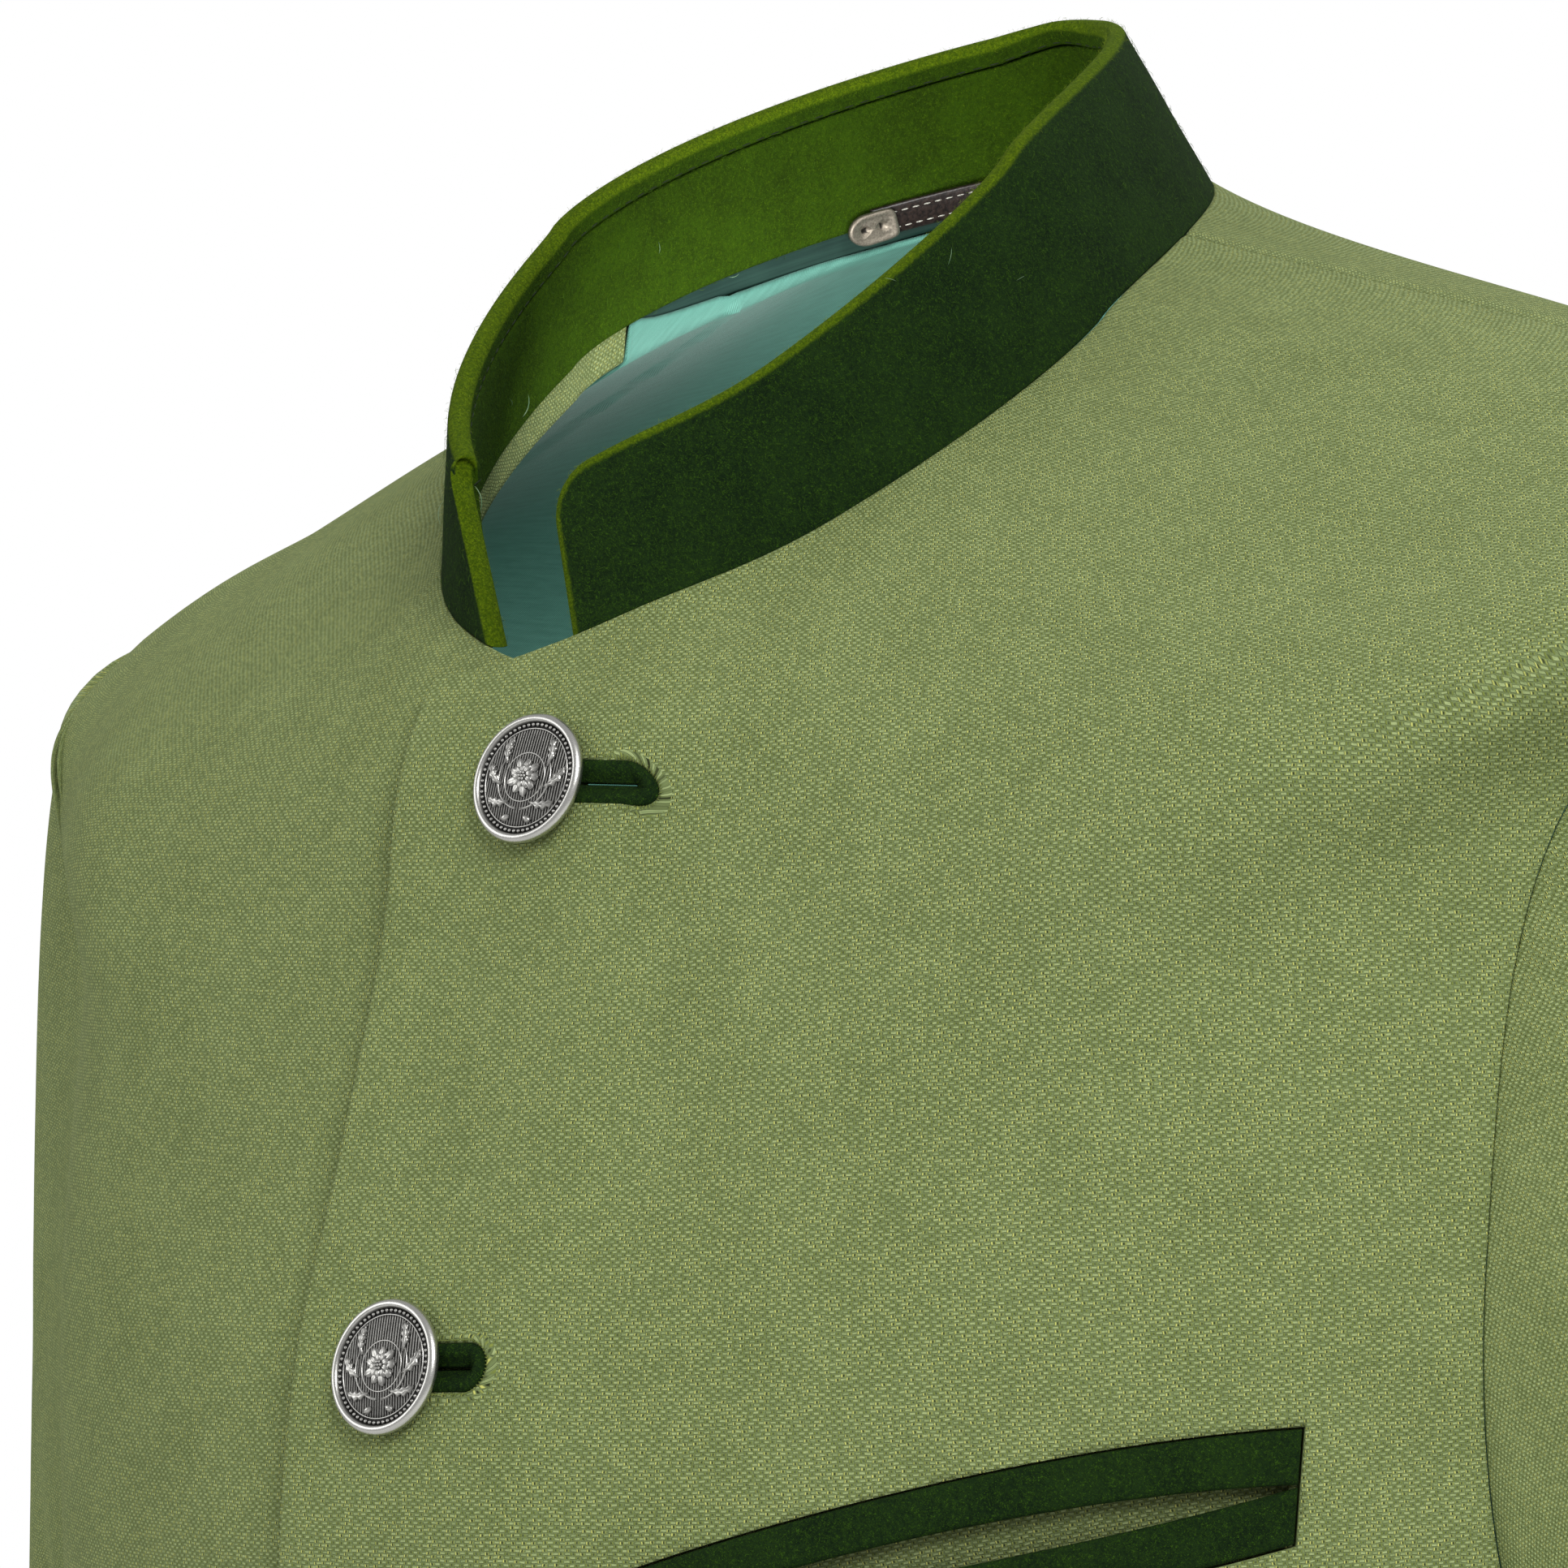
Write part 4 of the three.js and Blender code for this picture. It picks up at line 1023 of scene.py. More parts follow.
def back_grid():
    seam = seam_angle(False, BACK_ROWS)[:, None]
    return seam + (360 - 2 * seam) * BACK_SHARES, np.repeat(BACK_ROWS[:, None], len(BACK_SHARES), 1)


back_theta, back_v = back_grid()
base, normals = body(back_theta, back_v), body_normals(back_theta, back_v)
drop = sewn_drop(base, "b", "lrt", CLOTH / 2)
out = back_folds(back_theta, back_v) * smooth(edge_distance(base, "lr"), 0, 25) - seam_sink(base, "lr")
outer, inner = cloth_layers(base, normals, out, CLOTH, drop)
back_uv = flat_pattern(base, normals, CHEST_ROW, start=len(BACK_SHARES) // 2)
back = shell_mesh("back_linen", outer, inner, [LINEN], back_uv)
finish_cloth(back, "back", cut_size(back_uv))

# %% [markdown]
# ## The sleeves
# A tailored sleeve is two panels, a wide top sleeve and a narrow under sleeve, sewn into a tube
# that bends forward at the elbow. Its head is wider than the armhole, and that ease shows as a
# soft fullness beyond the seam. The tube follows its own short table of rings, and above the
# highest ring each thread of it runs as a cubic curve out of the armhole.

# %% Sleeve surface
SLEEVE_SEAMS = {"front": 144, "back": 252}
SLEEVE_TOP = SLEEVE_RINGS["t"][0]
TUCK = 0.3  # of the sleeve under the edge of the armhole


def armhole_at(phi):
    """The armhole as a loop: 0 is the shoulder tip, 90 in front, 180 the armpit."""
    turn = np.mod(phi, 360)
    front = turn < 180
    return armhole(front, np.where(front, 1 - turn / 180, (turn - 180) / 180))


def sleeve_root(phi):
    normal = body_normals(*armhole_at(phi))
    edge = body(*armhole_at(phi + 1)) - body(*armhole_at(phi - 1))
    away = unit(np.cross(normal, edge))
    return body(*armhole_at(phi)) - away * TUCK, normal, away


def sleeve(phi, t):
    """A point of the left sleeve. t is 0 at the armhole and 1 at the cuff."""
    phi, t = np.broadcast_arrays(np.asarray(phi, float), np.asarray(t, float))
    c, s = np.cos(np.radians(phi)), np.sin(np.radians(phi))
    low = np.maximum(t, SLEEVE_TOP)
    x, y, z, a, b = (
        curve(SLEEVE_RINGS, name, "t", low) for name in ("x", "y", "z", "half_width", "half_depth")
    )
    ahead, behind = (
        [curve(SLEEVE_RINGS, name, "t", low + step) for name in ("y", "z")] for step in (0.01, -0.01)
    )
    slope = (ahead[0] - behind[0]) / (ahead[1] - behind[1])
    tilt = slope * smooth(low, SLEEVE_TOP, SLEEVE_TOP + 0.2)
    below = np.stack([x + a * c, y - b * s, z + b * s * tilt], -1)
    q = np.clip(t / SLEEVE_TOP, 0, 1)[..., None]
    up = (1 + c) / 2
    nothing = np.zeros_like(c)
    leave = np.stack([26 + 24 * up, 10 * s, -30 - 85 * up], -1)
    arrive = np.stack([12 + nothing, nothing, -70 - 230 * up], -1)
    head = (
        sleeve_root(phi)[0] * (2 * q**3 - 3 * q**2 + 1)
        + leave * (q**3 - 2 * q**2 + q)
        + below * (3 * q**2 - 2 * q**3)
        + arrive * (q**3 - q**2)
    )
    return np.where((t < SLEEVE_TOP)[..., None], head, below)


def sleeve_folds(phi, t):
    """Millimetres by which a sleeve stands out: ease at its head, creases at the elbow."""
    out = 0.35 * np.sin(np.radians(phi) * 9 + 1) * np.exp(-((t - 0.05) / 0.05) ** 2)
    out = out + 0.5 * np.sin(np.radians(phi) * 3 + t * 9) * smooth(t, 0.1, 0.3)
    creases = (
        # phi and t of both ends, height, width
        ((60, 0.50), (150, 0.56), -2.6, 5),
        ((50, 0.57), (140, 0.585), 2.2, 5),
        ((75, 0.615), (160, 0.60), -2.4, 4.5),
        ((60, 0.66), (130, 0.70), -1.4, 6),
        ((200, 0.44), (285, 0.53), 1.6, 7),
        ((70, 0.20), (165, 0.30), -2.2, 5),
        ((95, 0.13), (175, 0.20), 1.4, 5),
        ((215, 0.16), (290, 0.26), -2.2, 6),
        ((230, 0.75), (320, 0.84), -1.4, 7),
        ((20, 0.30), (60, 0.46), -1.2, 9),
    )
    for start, end, height, width in creases:
        scale = np.array([0.9, 470.0])
        x, z = (np.mod(phi + 108, 360) - 108) * scale[0], t * scale[1]
        out = out + ridge(x, z, np.array(start) * scale, np.array(end) * scale, height, width)
    return out


print("cuff at", sleeve(np.array([0.0]), 1.0)[0].round(), "mm")

# %% [markdown]
# The top sleeve covers three fifths of the tube and the under sleeve the rest, out of sight below
# the arm. Both are cut from the same surface, so their seams meet. The right sleeve is the left
# one turned over.

# %% Sleeve panels
def sleeve_rows():
    head = np.linspace(0, SLEEVE_TOP, 62)
    arm = np.linspace(SLEEVE_TOP, 1, 84)
    rows = np.concatenate([head, arm[1:]])
    start, cuff = EDGE_STEPS / 520, EDGE_STEPS / 450
    rows = rows[(rows > start[-1] + 0.002) & (rows < 1 - cuff[-1] - 0.002)]
    return np.concatenate([start, rows, 1 - cuff[::-1]])


def sleeve_normals(phi, t):
    own = normals_of(sleeve, phi, np.clip(t, 0.01, 0.99), 1.0, 0.005)
    normal, away = sleeve_root(phi)[1:]
    # Under the arm the cloth folds back on itself, so its thickness turns up out of the fold.
    folded = unit(normal - away * np.maximum(0, -(own * away).sum(-1, keepdims=True)))
    share = smooth(t, 0.0, 0.012)[..., None]
    return unit(blend(folded, own, share))


SLEEVE_ROWS = sleeve_rows()
SLEEVE_GRAIN = 50  # phi of the straight grain on the top sleeve
SLEEVE_PANELS = {
    "top": (SLEEVE_SEAMS["back"] - 360, SLEEVE_SEAMS["front"], 96),
    "under": (SLEEVE_SEAMS["front"], SLEEVE_SEAMS["back"], 42),
}


def sleeve_pattern(points, grain):
    """Lengths across each row from the column of the grain line, and down each column."""
    across = np.linalg.norm(np.diff(points, axis=1), axis=-1).cumsum(1)
    across = np.concatenate([np.zeros((len(points), 1)), across], 1)
    down = np.linalg.norm(np.diff(points, axis=0), axis=-1).cumsum(0)
    down = np.concatenate([np.zeros((1, points.shape[1])), down])
    middle = int(np.argmin(np.abs(SLEEVE_ROWS - 0.35)))
    return np.stack([across - across[:, grain : grain + 1], down[middle] - down], -1)


def sleeve_panel(start, end, columns):
    width = (end - start) / 360 * 340
    gap = 0.06
    phi = crowded(start + gap, end - gap, (end - start) / columns, scale=(end - start) / width)
    phi, t = np.meshgrid(phi, SLEEVE_ROWS)
    base, normals = sleeve(phi, t), sleeve_normals(phi, t)
    drop = sewn_drop(base, "t", "lrb", CLOTH / 2)
    ease = smooth(edge_distance(base, "b"), 0, 6)
    out = sleeve_folds(phi, t) * ease - seam_sink(base, "lr", 0.3, 1.6) - seam_sink(base, "b", 0.25)
    outer, inner = cloth_layers(base, normals, out, CLOTH, drop)
    return outer, inner, sleeve_pattern(base, int(np.argmin(np.abs(phi[0] - SLEEVE_GRAIN))))


for name, (start, end, columns) in SLEEVE_PANELS.items():
    outer, inner, uv = sleeve_panel(start, end, columns)
    size = cut_size(uv)
    left = shell_mesh(f"sleeve_{name}_left_linen", outer, inner, [LINEN], uv)
    finish_cloth(left, f"sleeve_{name}_left", size)
    right = mirrored_shell(f"sleeve_{name}_right_linen", outer, inner, uv, LINEN)
    finish_cloth(right, f"sleeve_{name}_right", size)

# %% [markdown]
# ## The felt
# Milled wool felt has no weave. Up close it is a mat of fine fibres, dark green with paler and
# yellower ones mixed in, and where it is folded over the rim of the collar the nap catches the
# light and turns a bright moss colour, which is partly the felt's own paler edge and partly a
# painted highlight. The colour is built from noise of three sizes, the bright rim comes from a
# value stored on the mesh, which is the distance from the edge, and real fibres are strewn over
# the surface afterwards.

# %% Felt
FELT_DARK = linear(15, 31, 14)
FELT_GREEN = linear(31, 53, 20)
FELT_FIBRE = linear(60, 94, 24)
INSIDE_DARK = linear(30, 48, 3)
INSIDE_GREEN = linear(47, 74, 5)
INSIDE_FIBRE = linear(76, 104, 12)
# Colours of the rim: the felt's own paler edge and a painted highlight together.
RIM_TONE_HIGHLIGHT_DARK = linear(60, 84, 6)
RIM_TONE_HIGHLIGHT_GREEN = linear(100, 124, 12)


def felt_finish(name):
    felt = Finish(name)
    within = felt.attribute("inside")
    dark = felt.mix(within, FELT_DARK, INSIDE_DARK)
    light = felt.mix(within, FELT_GREEN, INSIDE_GREEN)
    fibre = felt.mix(within, FELT_FIBRE, INSIDE_FIBRE)
    place = felt.place()
    blots = felt.noise(place, 90.0, detail=3.0, rough=0.6)
    tufts = felt.noise(place, 1150.0, detail=3.0, rough=0.65)
    grain = felt.noise(place, 2600.0, detail=2.0, rough=0.7)

    def curls(scale, detail, thin):
        """Thin curly lines, where a noise passes through its middle value."""
        return (felt.noise(place, scale, detail=detail, rough=0.5) - 0.5).size().fade(thin, thin * 0.25)

    strands = curls(2100.0, 1.0, 0.04) * grain.fade(0.35, 0.62)
    strands = strands.most(curls(1500.0, 2.0, 0.03) * tufts.fade(0.42, 0.6))
    lightness = blots * 0.35 + tufts * 0.45 + grain * 0.35
    tone = felt.mix(lightness.fade(0.4, 0.75), dark, light)
    tone = felt.mix(strands * 0.9, tone, fibre)
    # Painted highlight, partly the felt's own paler edge: the colour turns bright moss near the edge.
    rim = (felt.attribute("edge") + (tufts - 0.5) * 1.4).fade(2.1, 1.2)
    bright = felt.mix((grain * 0.6 + tufts * 0.5).fade(0.42, 0.7), RIM_TONE_HIGHLIGHT_DARK, RIM_TONE_HIGHLIGHT_GREEN)
    tone = felt.mix(rim * 0.95, tone, bright)
    felt.set(
        Base_Color=tone,
        Roughness=0.95,
        Specular_IOR_Level=0.08,
        Normal=felt.bump(tufts * 0.6 + grain * 0.4 + strands * 0.3 + blots * 0.3, 0.5),
    )
    return felt.material


FELT_CLOTH = felt_finish("dark_green_felt")
print("felt nodes:", len(FELT_CLOTH.node_tree.nodes))

# %% [markdown]
# ## The stand collar
# The collar is a strip of felt that stands on the neckline and leans inward, with rounded front
# corners. The outer felt is folded over the rim and stitched down inside, where a second piece
# covers the rest. The strip is laid out flat first, as length along the seam and height above
# it, and one number decides its thickness everywhere: the distance to the nearest free edge.

# %% Collar frame
COLLAR = {"height": 31.8, "front_height": 29.9, "lean": 21.1, "inset": 10, "corner": 8.5, "fold": 5.2}
COLLAR_ENDS = {"left": 8.9, "right": 12.7, "left_skew": -0.05, "right_skew": -0.6, "spread": 11}
COLLAR_UNDER = 5.0  # of the inner felt, above the lower edge of the outer one
COLLAR_GAP = 0.2
COLLAR_LOW = -0.6  # the outer felt reaches down over its seam
COLLAR_THICK = 2 * FELT + COLLAR_GAP
COLLAR_ROUND = COLLAR_THICK / 2
COLLAR_START = float(angle_in_row(COLLAR_ENDS["left"], 1.0))
COLLAR_END = 360 - float(angle_in_row(COLLAR_ENDS["right"], 1.0))


def collar_seam(angle):
    """The seam of the collar, from just left of the centre front round to just right of it."""
    angle = np.asarray(angle, float)
    left = angle <= 180
    theta = np.where(left, angle, 360 - angle)
    v = neckline_v(theta)
    lift = np.where(left, overlap_lift(theta, v), 0)
    p = body(theta, v) + body_normals(theta, v) * lift[..., None]
    return p * np.stack([np.where(left, 1, -1), np.ones_like(v), np.ones_like(v)], -1)


def collar_frame(angle):
    """Seam point, up and inward directions, slope of the lower edge, and slant height."""
    angle = np.asarray(angle, float)
    s, c = np.sin(np.radians(angle)), np.cos(np.radians(angle))
    height = blend(COLLAR["height"], COLLAR["front_height"], np.maximum(c, 0) ** 2)
    lean = math.radians(COLLAR["lean"])
    slant = np.stack(
        [-s * COLLAR["inset"], c * COLLAR["inset"] - height * math.sin(lean), height * math.cos(lean)], -1
    )
    length = np.linalg.norm(slant, axis=-1)
    along = collar_seam(angle + 0.5) - collar_seam(angle - 0.5)
    skew = COLLAR_ENDS["left_skew"] * np.exp(-(((angle - COLLAR_START) / COLLAR_ENDS["spread"]) ** 2))
    skew = skew + COLLAR_ENDS["right_skew"] * np.exp(-(((COLLAR_END - angle) / COLLAR_ENDS["spread"]) ** 2))
    slant = slant + unit(along) * (length * skew)[..., None]
    up = unit(slant)
    inward = unit(np.cross(up, along))
    theta = np.where(angle <= 180, angle, angle - 360)
    normal = body_normals(np.abs(theta), neckline_v(np.abs(theta)))
    normal = normal * np.stack([np.where(theta < 0, -1, 1), np.ones_like(s), np.ones_like(s)], -1)
    slope = np.maximum(0, (normal * up).sum(-1) / (normal * inward).sum(-1))
    return collar_seam(angle), up, inward, slope, np.linalg.norm(slant, axis=-1)


COLLAR_ANGLES = np.linspace(COLLAR_START, COLLAR_END, 2001)
COLLAR_LENGTHS = np.concatenate(
    [[0], np.linalg.norm(np.diff(collar_seam(COLLAR_ANGLES), axis=0), axis=1).cumsum()]
)
COLLAR_LENGTH = float(COLLAR_LENGTHS[-1])
print("collar seam", round(COLLAR_LENGTH), "mm")


def collar_at(along, up, inward):
    """The place of a flat collar point: along the seam, up the slant and in from its outside."""
    seam, up_way, in_way, slope, _ = collar_frame(np.interp(along, COLLAR_LENGTHS, COLLAR_ANGLES))
    lowest = (COLLAR_GAP + slope * inward)[..., None]
    return seam + up_way * (lowest + up[..., None]) + in_way * inward[..., None]


def collar_height(along):
    """Height of the flat collar at a length along its seam, without its round corners."""
    angle = np.interp(along, COLLAR_LENGTHS, COLLAR_ANGLES)
    return collar_frame(angle)[4] - COLLAR_GAP

# %% [markdown]
# Both collar pieces are laid out flat with rounded corners. The outer one is turned over its free
# edges by the width of the fold, so it is double there. The inner one is set in below the fold
# and a little above the seam, and its face is slightly padded.

# %% The collar laid flat
FREE_STEPS = np.array([0, 0.08, 0.25, 0.55, 0.95, 1.5, 2.15, 2.9])


COLLAR_STEP = 1.9


def collar_sheet(inset, base):
    """Flat grid of a collar piece cut smaller by inset along its free edges: along, up, edge."""
    corner = COLLAR["corner"] - inset
    near = FREE_STEPS
    count = int((COLLAR_LENGTH - 2 * inset - 2 * near[-1]) / COLLAR_STEP)
    middle = np.linspace(inset + near[-1], COLLAR_LENGTH - inset - near[-1], count)
    along = np.concatenate([inset + near[:-1], middle, (COLLAR_LENGTH - inset - near[:-1])[::-1]])
    from_end = np.minimum(along - inset, COLLAR_LENGTH - inset - along)
    short = np.maximum(corner - from_end, 0)
    full = collar_height(along) - inset
    top = full - corner + np.sqrt(np.maximum(corner**2 - short**2, 0))
    fold = COLLAR["fold"]
    top_steps = [*near, 3.7, 4.4, fold - 0.4, fold - 0.1, fold + 0.15, fold + 0.5, fold + 1.2]
    top_steps = np.array(top_steps if inset == 0 else [0, 0.08, 0.25, 0.55, 0.95, 1.5, 2.4])
    base_steps = np.array([0, 0, 0.15, 0.4, 0.9])
    rows = [np.full_like(along, base + b) for b in base_steps]
    room = top - top_steps[-1] - base_steps[-1] - base
    for share in np.linspace(0, 1, 13)[1:-1]:
        rows.append(base + base_steps[-1] + room * share)
    rows += [top - t for t in top_steps[::-1]]
    up = np.array(rows)
    to_centre = np.hypot(short, np.maximum(up - (full - corner), 0))
    in_corner = (short > 0) & (up > full - corner)
    edge = np.where(in_corner, corner - to_centre, np.minimum(from_end, full - up))
    return np.broadcast_to(along, up.shape), up, np.maximum(edge, 0)


print("flat collar grid:", collar_sheet(0, COLLAR_LOW)[1].shape)

# %% [markdown]
# Each face of a collar piece is a depth inward from the outside of the collar. The outer felt has
# one depth outside and one inside, which grows to the full thickness where it is turned over.


# %% Collar pieces
def base_drop(up, rows, half):
    """The small roll at the seam. The first row is the border, where both faces meet."""
    drop = edge_drop(up, half)
    drop[0] = rows
    return drop


def felt_unevenness(along, up):
    wave = np.sin(along / 9.1 + np.sin(up / 5)) + np.sin(along / 4.3 + up / 3.7 + 2) * 0.6
    return 0.07 * wave


def collar_outer():
    along, up, edge = collar_sheet(0, COLLAR_LOW)
    drop = edge_drop(edge, COLLAR_ROUND)
    outside = np.maximum(drop, base_drop(up - COLLAR_LOW, COLLAR_ROUND, 0.45))
    uneven = felt_unevenness(along, up) * smooth(edge, 1, 4)
    folded = 1 - smooth(edge, COLLAR["fold"] - 0.35, COLLAR["fold"] + 0.1)
    inside = FELT + (COLLAR_THICK - FELT) * folded - drop
    inside[0] = COLLAR_ROUND
    border = edge <= 0
    inside = np.where(border, COLLAR_ROUND, inside)
    outside = np.where(border, COLLAR_ROUND, outside - uneven)
    return along, up, edge, outside, inside


def collar_inner():
    along, up, edge = collar_sheet(COLLAR["fold"] + 0.1, COLLAR_UNDER)
    half = (COLLAR_THICK - FELT - COLLAR_GAP) / 2
    drop = np.maximum(edge_drop(edge, half), base_drop(up - COLLAR_UNDER, half, 0.6))
    puff = 0.35 * smooth(edge, 0, 6) + felt_unevenness(along + 31, up)
    outside = FELT + COLLAR_GAP + drop
    inside = COLLAR_THICK - drop + puff * smooth(edge, 0, 2)
    middle = FELT + COLLAR_GAP + half
    border = (edge <= 0) | (np.arange(len(up)) == 0)[:, None]
    return along, up, edge + 20, np.where(border, middle, outside), np.where(border, middle, inside)


def collar_piece(name, node, layers):
    along, up, edge, outside, inside = layers
    outer, inner = collar_at(along, up, outside), collar_at(along, up, inside)
    uv = np.stack([along, up], -1)
    values = {"edge": edge, "inside": np.zeros_like(edge)}
    piece = shell_mesh(name, outer, inner, [FELT_CLOTH], uv, values)
    finish_cloth(piece, node, cut_size(uv))
    return piece


outer_collar = collar_piece("collar_outer_felt", "collar_outer", collar_outer())
inner_collar = collar_piece("collar_inner_felt", "collar_inner", collar_inner())

# %% [markdown]
# ## Recipes for what repeats
# Stitches, beads, ribs and fibres repeat by the hundred. A Geometry Nodes tree makes them from a
# few named sizes, and a change of pitch is one number. The tree is only a recipe: its result is
# realized, turned into a plain mesh, and the modifier is taken off again.


# %% Geometry Nodes helper
class Recipe(Tree):
    """A Geometry Nodes tree with named inputs, applied to make plain meshes."""

    def __init__(self, name, inputs, material):
        super().__init__(bpy.data.node_groups.new(name, "GeometryNodeTree"))
        interface = self.tree.interface
        interface.new_socket("Geometry", in_out="INPUT", socket_type="NodeSocketGeometry")
        interface.new_socket("Geometry", in_out="OUTPUT", socket_type="NodeSocketGeometry")
        self.identifiers = {}
        for label, value in inputs.items():
            kind = "NodeSocketInt" if isinstance(value, int) else "NodeSocketFloat"
            socket = interface.new_socket(label, in_out="INPUT", socket_type=kind)
            socket.default_value = value
            self.identifiers[label] = socket.identifier
        self.start = self.tree.nodes.new("NodeGroupInput")
        self.material = material

    def input(self, label):
        return Channel(self, self.start.outputs[label])

    def finish(self, instances):
        """Every recipe ends the same way: real geometry, with its material."""
        real = self.node("GeometryNodeRealizeInstances", values={0: instances})
        settled = self.node("GeometryNodeSetMaterial", values={"Geometry": real, "Material": self.material})
        end = self.tree.nodes.new("NodeGroupOutput")
        self.feed(end.inputs[0], settled)

    def apply(self, piece, **values):
        """Runs the recipe on a piece and keeps the result as its plain mesh."""
        modifier = piece.modifiers.new(self.tree.name, "NODES")
        modifier.node_group = self.tree
        for label, value in values.items():
            modifier[self.identifiers[label]] = value
        mesh = plain_mesh(piece)
        print(piece.name, "from recipe", self.tree.name, ":", len(mesh.polygons), "faces")
        return piece


def line_object(name, points, closed=False):
    """A bare line of edges that a recipe can follow."""
    count = len(points)
    edges = [(i, i + 1) for i in range(count - 1)] + ([(count - 1, 0)] if closed else [])
    mesh = bpy.data.meshes.new(name)
    mesh.from_pydata((np.asarray(points) * MM).tolist(), edges, [])
    made = bpy.data.objects.new(name, mesh)
    bpy.context.scene.collection.objects.link(made)
    return made


def ride_with(piece, slot, *nodes):
    """A small piece that isn't a sheet of cloth."""
    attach(piece, ROOT)
    if nodes:
        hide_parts(*nodes)
    return piece


print("recipe methods:", [name for name in vars(Recipe) if not name.startswith("_")])

# %% [markdown]
# A stitch is a short rod of thread, thicker in its middle. A row of them follows a line at an even
# pitch, lying along it, or across it where they bind an edge.


# %% A recipe for stitches along a line
def stitch_recipe(name, material, pitch, length, thick, turn=0.0):
    """Short rods laid along a line, or across it with a turn of 90 degrees."""
    recipe = Recipe(name, {"pitch": pitch, "length": length, "thick": thick}, material)
    curve_line = recipe.node("GeometryNodeMeshToCurve", values={0: recipe.input("Geometry")})
    points = recipe.node(
        "GeometryNodeCurveToPoints", {"mode": "LENGTH"}, {0: curve_line, "Length": recipe.input("pitch")}
    )
    rotation = Channel(recipe, points.socket.node.outputs["Rotation"])
    turned = recipe.node(
        "FunctionNodeRotateRotation",
        {"rotation_space": "LOCAL"},
        {0: rotation, 1: (math.radians(turn), 0.0, 0.0)},
    )
    rod = recipe.node("GeometryNodeMeshUVSphere", values={"Segments": 6, "Rings": 5, "Radius": 0.5})
    size = recipe.joined(recipe.input("thick"), recipe.input("thick"), recipe.input("length"))
    placed = recipe.node(
        "GeometryNodeInstanceOnPoints",
        values={0: points, "Instance": rod, "Rotation": turned, "Scale": size},
    )
    recipe.finish(placed)
    return recipe


def thread_finish(name, colour, dark):
    thread = Finish(name)
    ply = thread.noise(thread.place(), 5200.0, detail=1.0)
    thread.set(
        Base_Color=thread.mix(ply.fade(0.3, 0.7), dark, colour),
        Roughness=0.7,
        Specular_IOR_Level=0.3,
        Normal=thread.bump(ply, 0.05),
    )
    return thread.material


HOLE_THREAD = thread_finish("yellow_green_thread", linear(150, 164, 88), linear(96, 108, 44))
DARK_THREAD = thread_finish("dark_green_thread", linear(30, 44, 18), linear(12, 20, 8))
WHITE_THREAD = thread_finish("white_thread", linear(196, 194, 184), linear(120, 118, 108))
print("threads:", HOLE_THREAD.name, DARK_THREAD.name, WHITE_THREAD.name)

# %% [markdown]
# ## The buttonholes
# Each hole in the left front is bound with felt: a strip turned over the edge into two fat lips
# that meet in a narrow crease. Around them the linen is drawn up into a low roll, caught with short
# stitches of yellow-green thread. Both are closed loops of one section that follows the oval,
# so one function sweeps them, given how far in and how high each corner of the section lies.

# %% Buttonholes
# Pairs of inset from the cut edge and height above the cloth.
LIP_SECTION = [(0.05, -1.2), (0.05, 0.2), (0.3, 0.62), (0.8, 0.92), (1.4, 0.95), (2.0, 0.7)]
LIP_SECTION += [(2.55, 0.15), (3.05, -0.4), (3.5, -0.8), (3.93, -1.15)]
ROLL_SECTION = [(-2.3, -0.35), (-1.9, 0.0), (-1.5, 0.24), (-1.0, 0.42), (-0.5, 0.42), (-0.1, 0.2)]
ROLL_SECTION += [(0.1, -0.25), (0.1, -0.7), (-2.2, -0.7)]


HOLE_SIDES = 96


def hole_loop(place, inset, height):
    theta, v = hole_outline(place, inset, HOLE_SIDES)
    lift = overlap_lift(theta, v) + front_folds(theta, v) + height
    return body(theta, v) + body_normals(theta, v) * lift[:, None]


def hole_ring(name, place, section, materials, uneven=0.0):
    loops = [hole_loop(place, inset, height) for inset, height in section]
    sides, count = loops[0].shape[0], len(loops)
    if uneven:
        normal = body_normals(place["theta"], place["v"])
        turn = np.arange(sides) / sides * 2 * np.pi
        wave = uneven * (np.sin(7 * turn + place["v"] * 50) + 0.6 * np.sin(17 * turn))
        loops = [loop + wave[:, None] * normal for loop in loops]
    index = np.arange(count * sides).reshape(count, sides)
    index = np.concatenate([index, index[:1]])
    index = np.concatenate([index, index[:, :1]], 1)
    theta, v = hole_outline(place, 0, sides)
    flat = np.stack([np.interp(theta, [-10, 10], [-26, 26]), v * 420], -1)
    uv = np.concatenate([flat + [0, k * 0.3] for k in range(count)])
    edge = np.full(count * sides, 20.0)
    return add_object(name, np.concatenate(loops), grid_faces(index), materials, uv, {"edge": edge})


HOLE_STITCHES = stitch_recipe("hole_stitches", HOLE_THREAD, 0.62 * MM, 1.25 * MM, 0.2 * MM, turn=90.0)
for i, place in enumerate(PLACES, 1):
    lips = hole_ring(f"buttonhole_{i}_felt_lips", place, LIP_SECTION, [FELT_CLOTH], 0.08)
    ride_with(lips, "felt", f"buttonhole_{i}")
    roll = hole_ring(f"buttonhole_{i}_linen_roll", place, ROLL_SECTION, [LINEN], 0.05)
    ride_with(roll, "linen")
    path = line_object(f"buttonhole_{i}_stitches", hole_loop(place, -0.35, 0.42), closed=True)
    ride_with(HOLE_STITCHES.apply(path), "linen")

# %% [markdown]
# ## The buttons
# The buttons are cast in antique silver: a smooth bright rim, a ring of beads, a ribbed ground
# and a raised ornament, an edelweiss framed by two oak twigs. The body is turned like a coin from
# one half section. Beads and ribs are recipes, and each petal and leaf is lofted along its own
# spine. Casting leaves the hollows dark and wear leaves the tops bright, so every point of the
# mesh stores how exposed it is, and the finish reads that value.

# %% Antique silver
SILVER_DARK = linear(38, 37, 35)
SILVER_MID = linear(128, 127, 123)
SILVER_BRIGHT = linear(206, 205, 200)


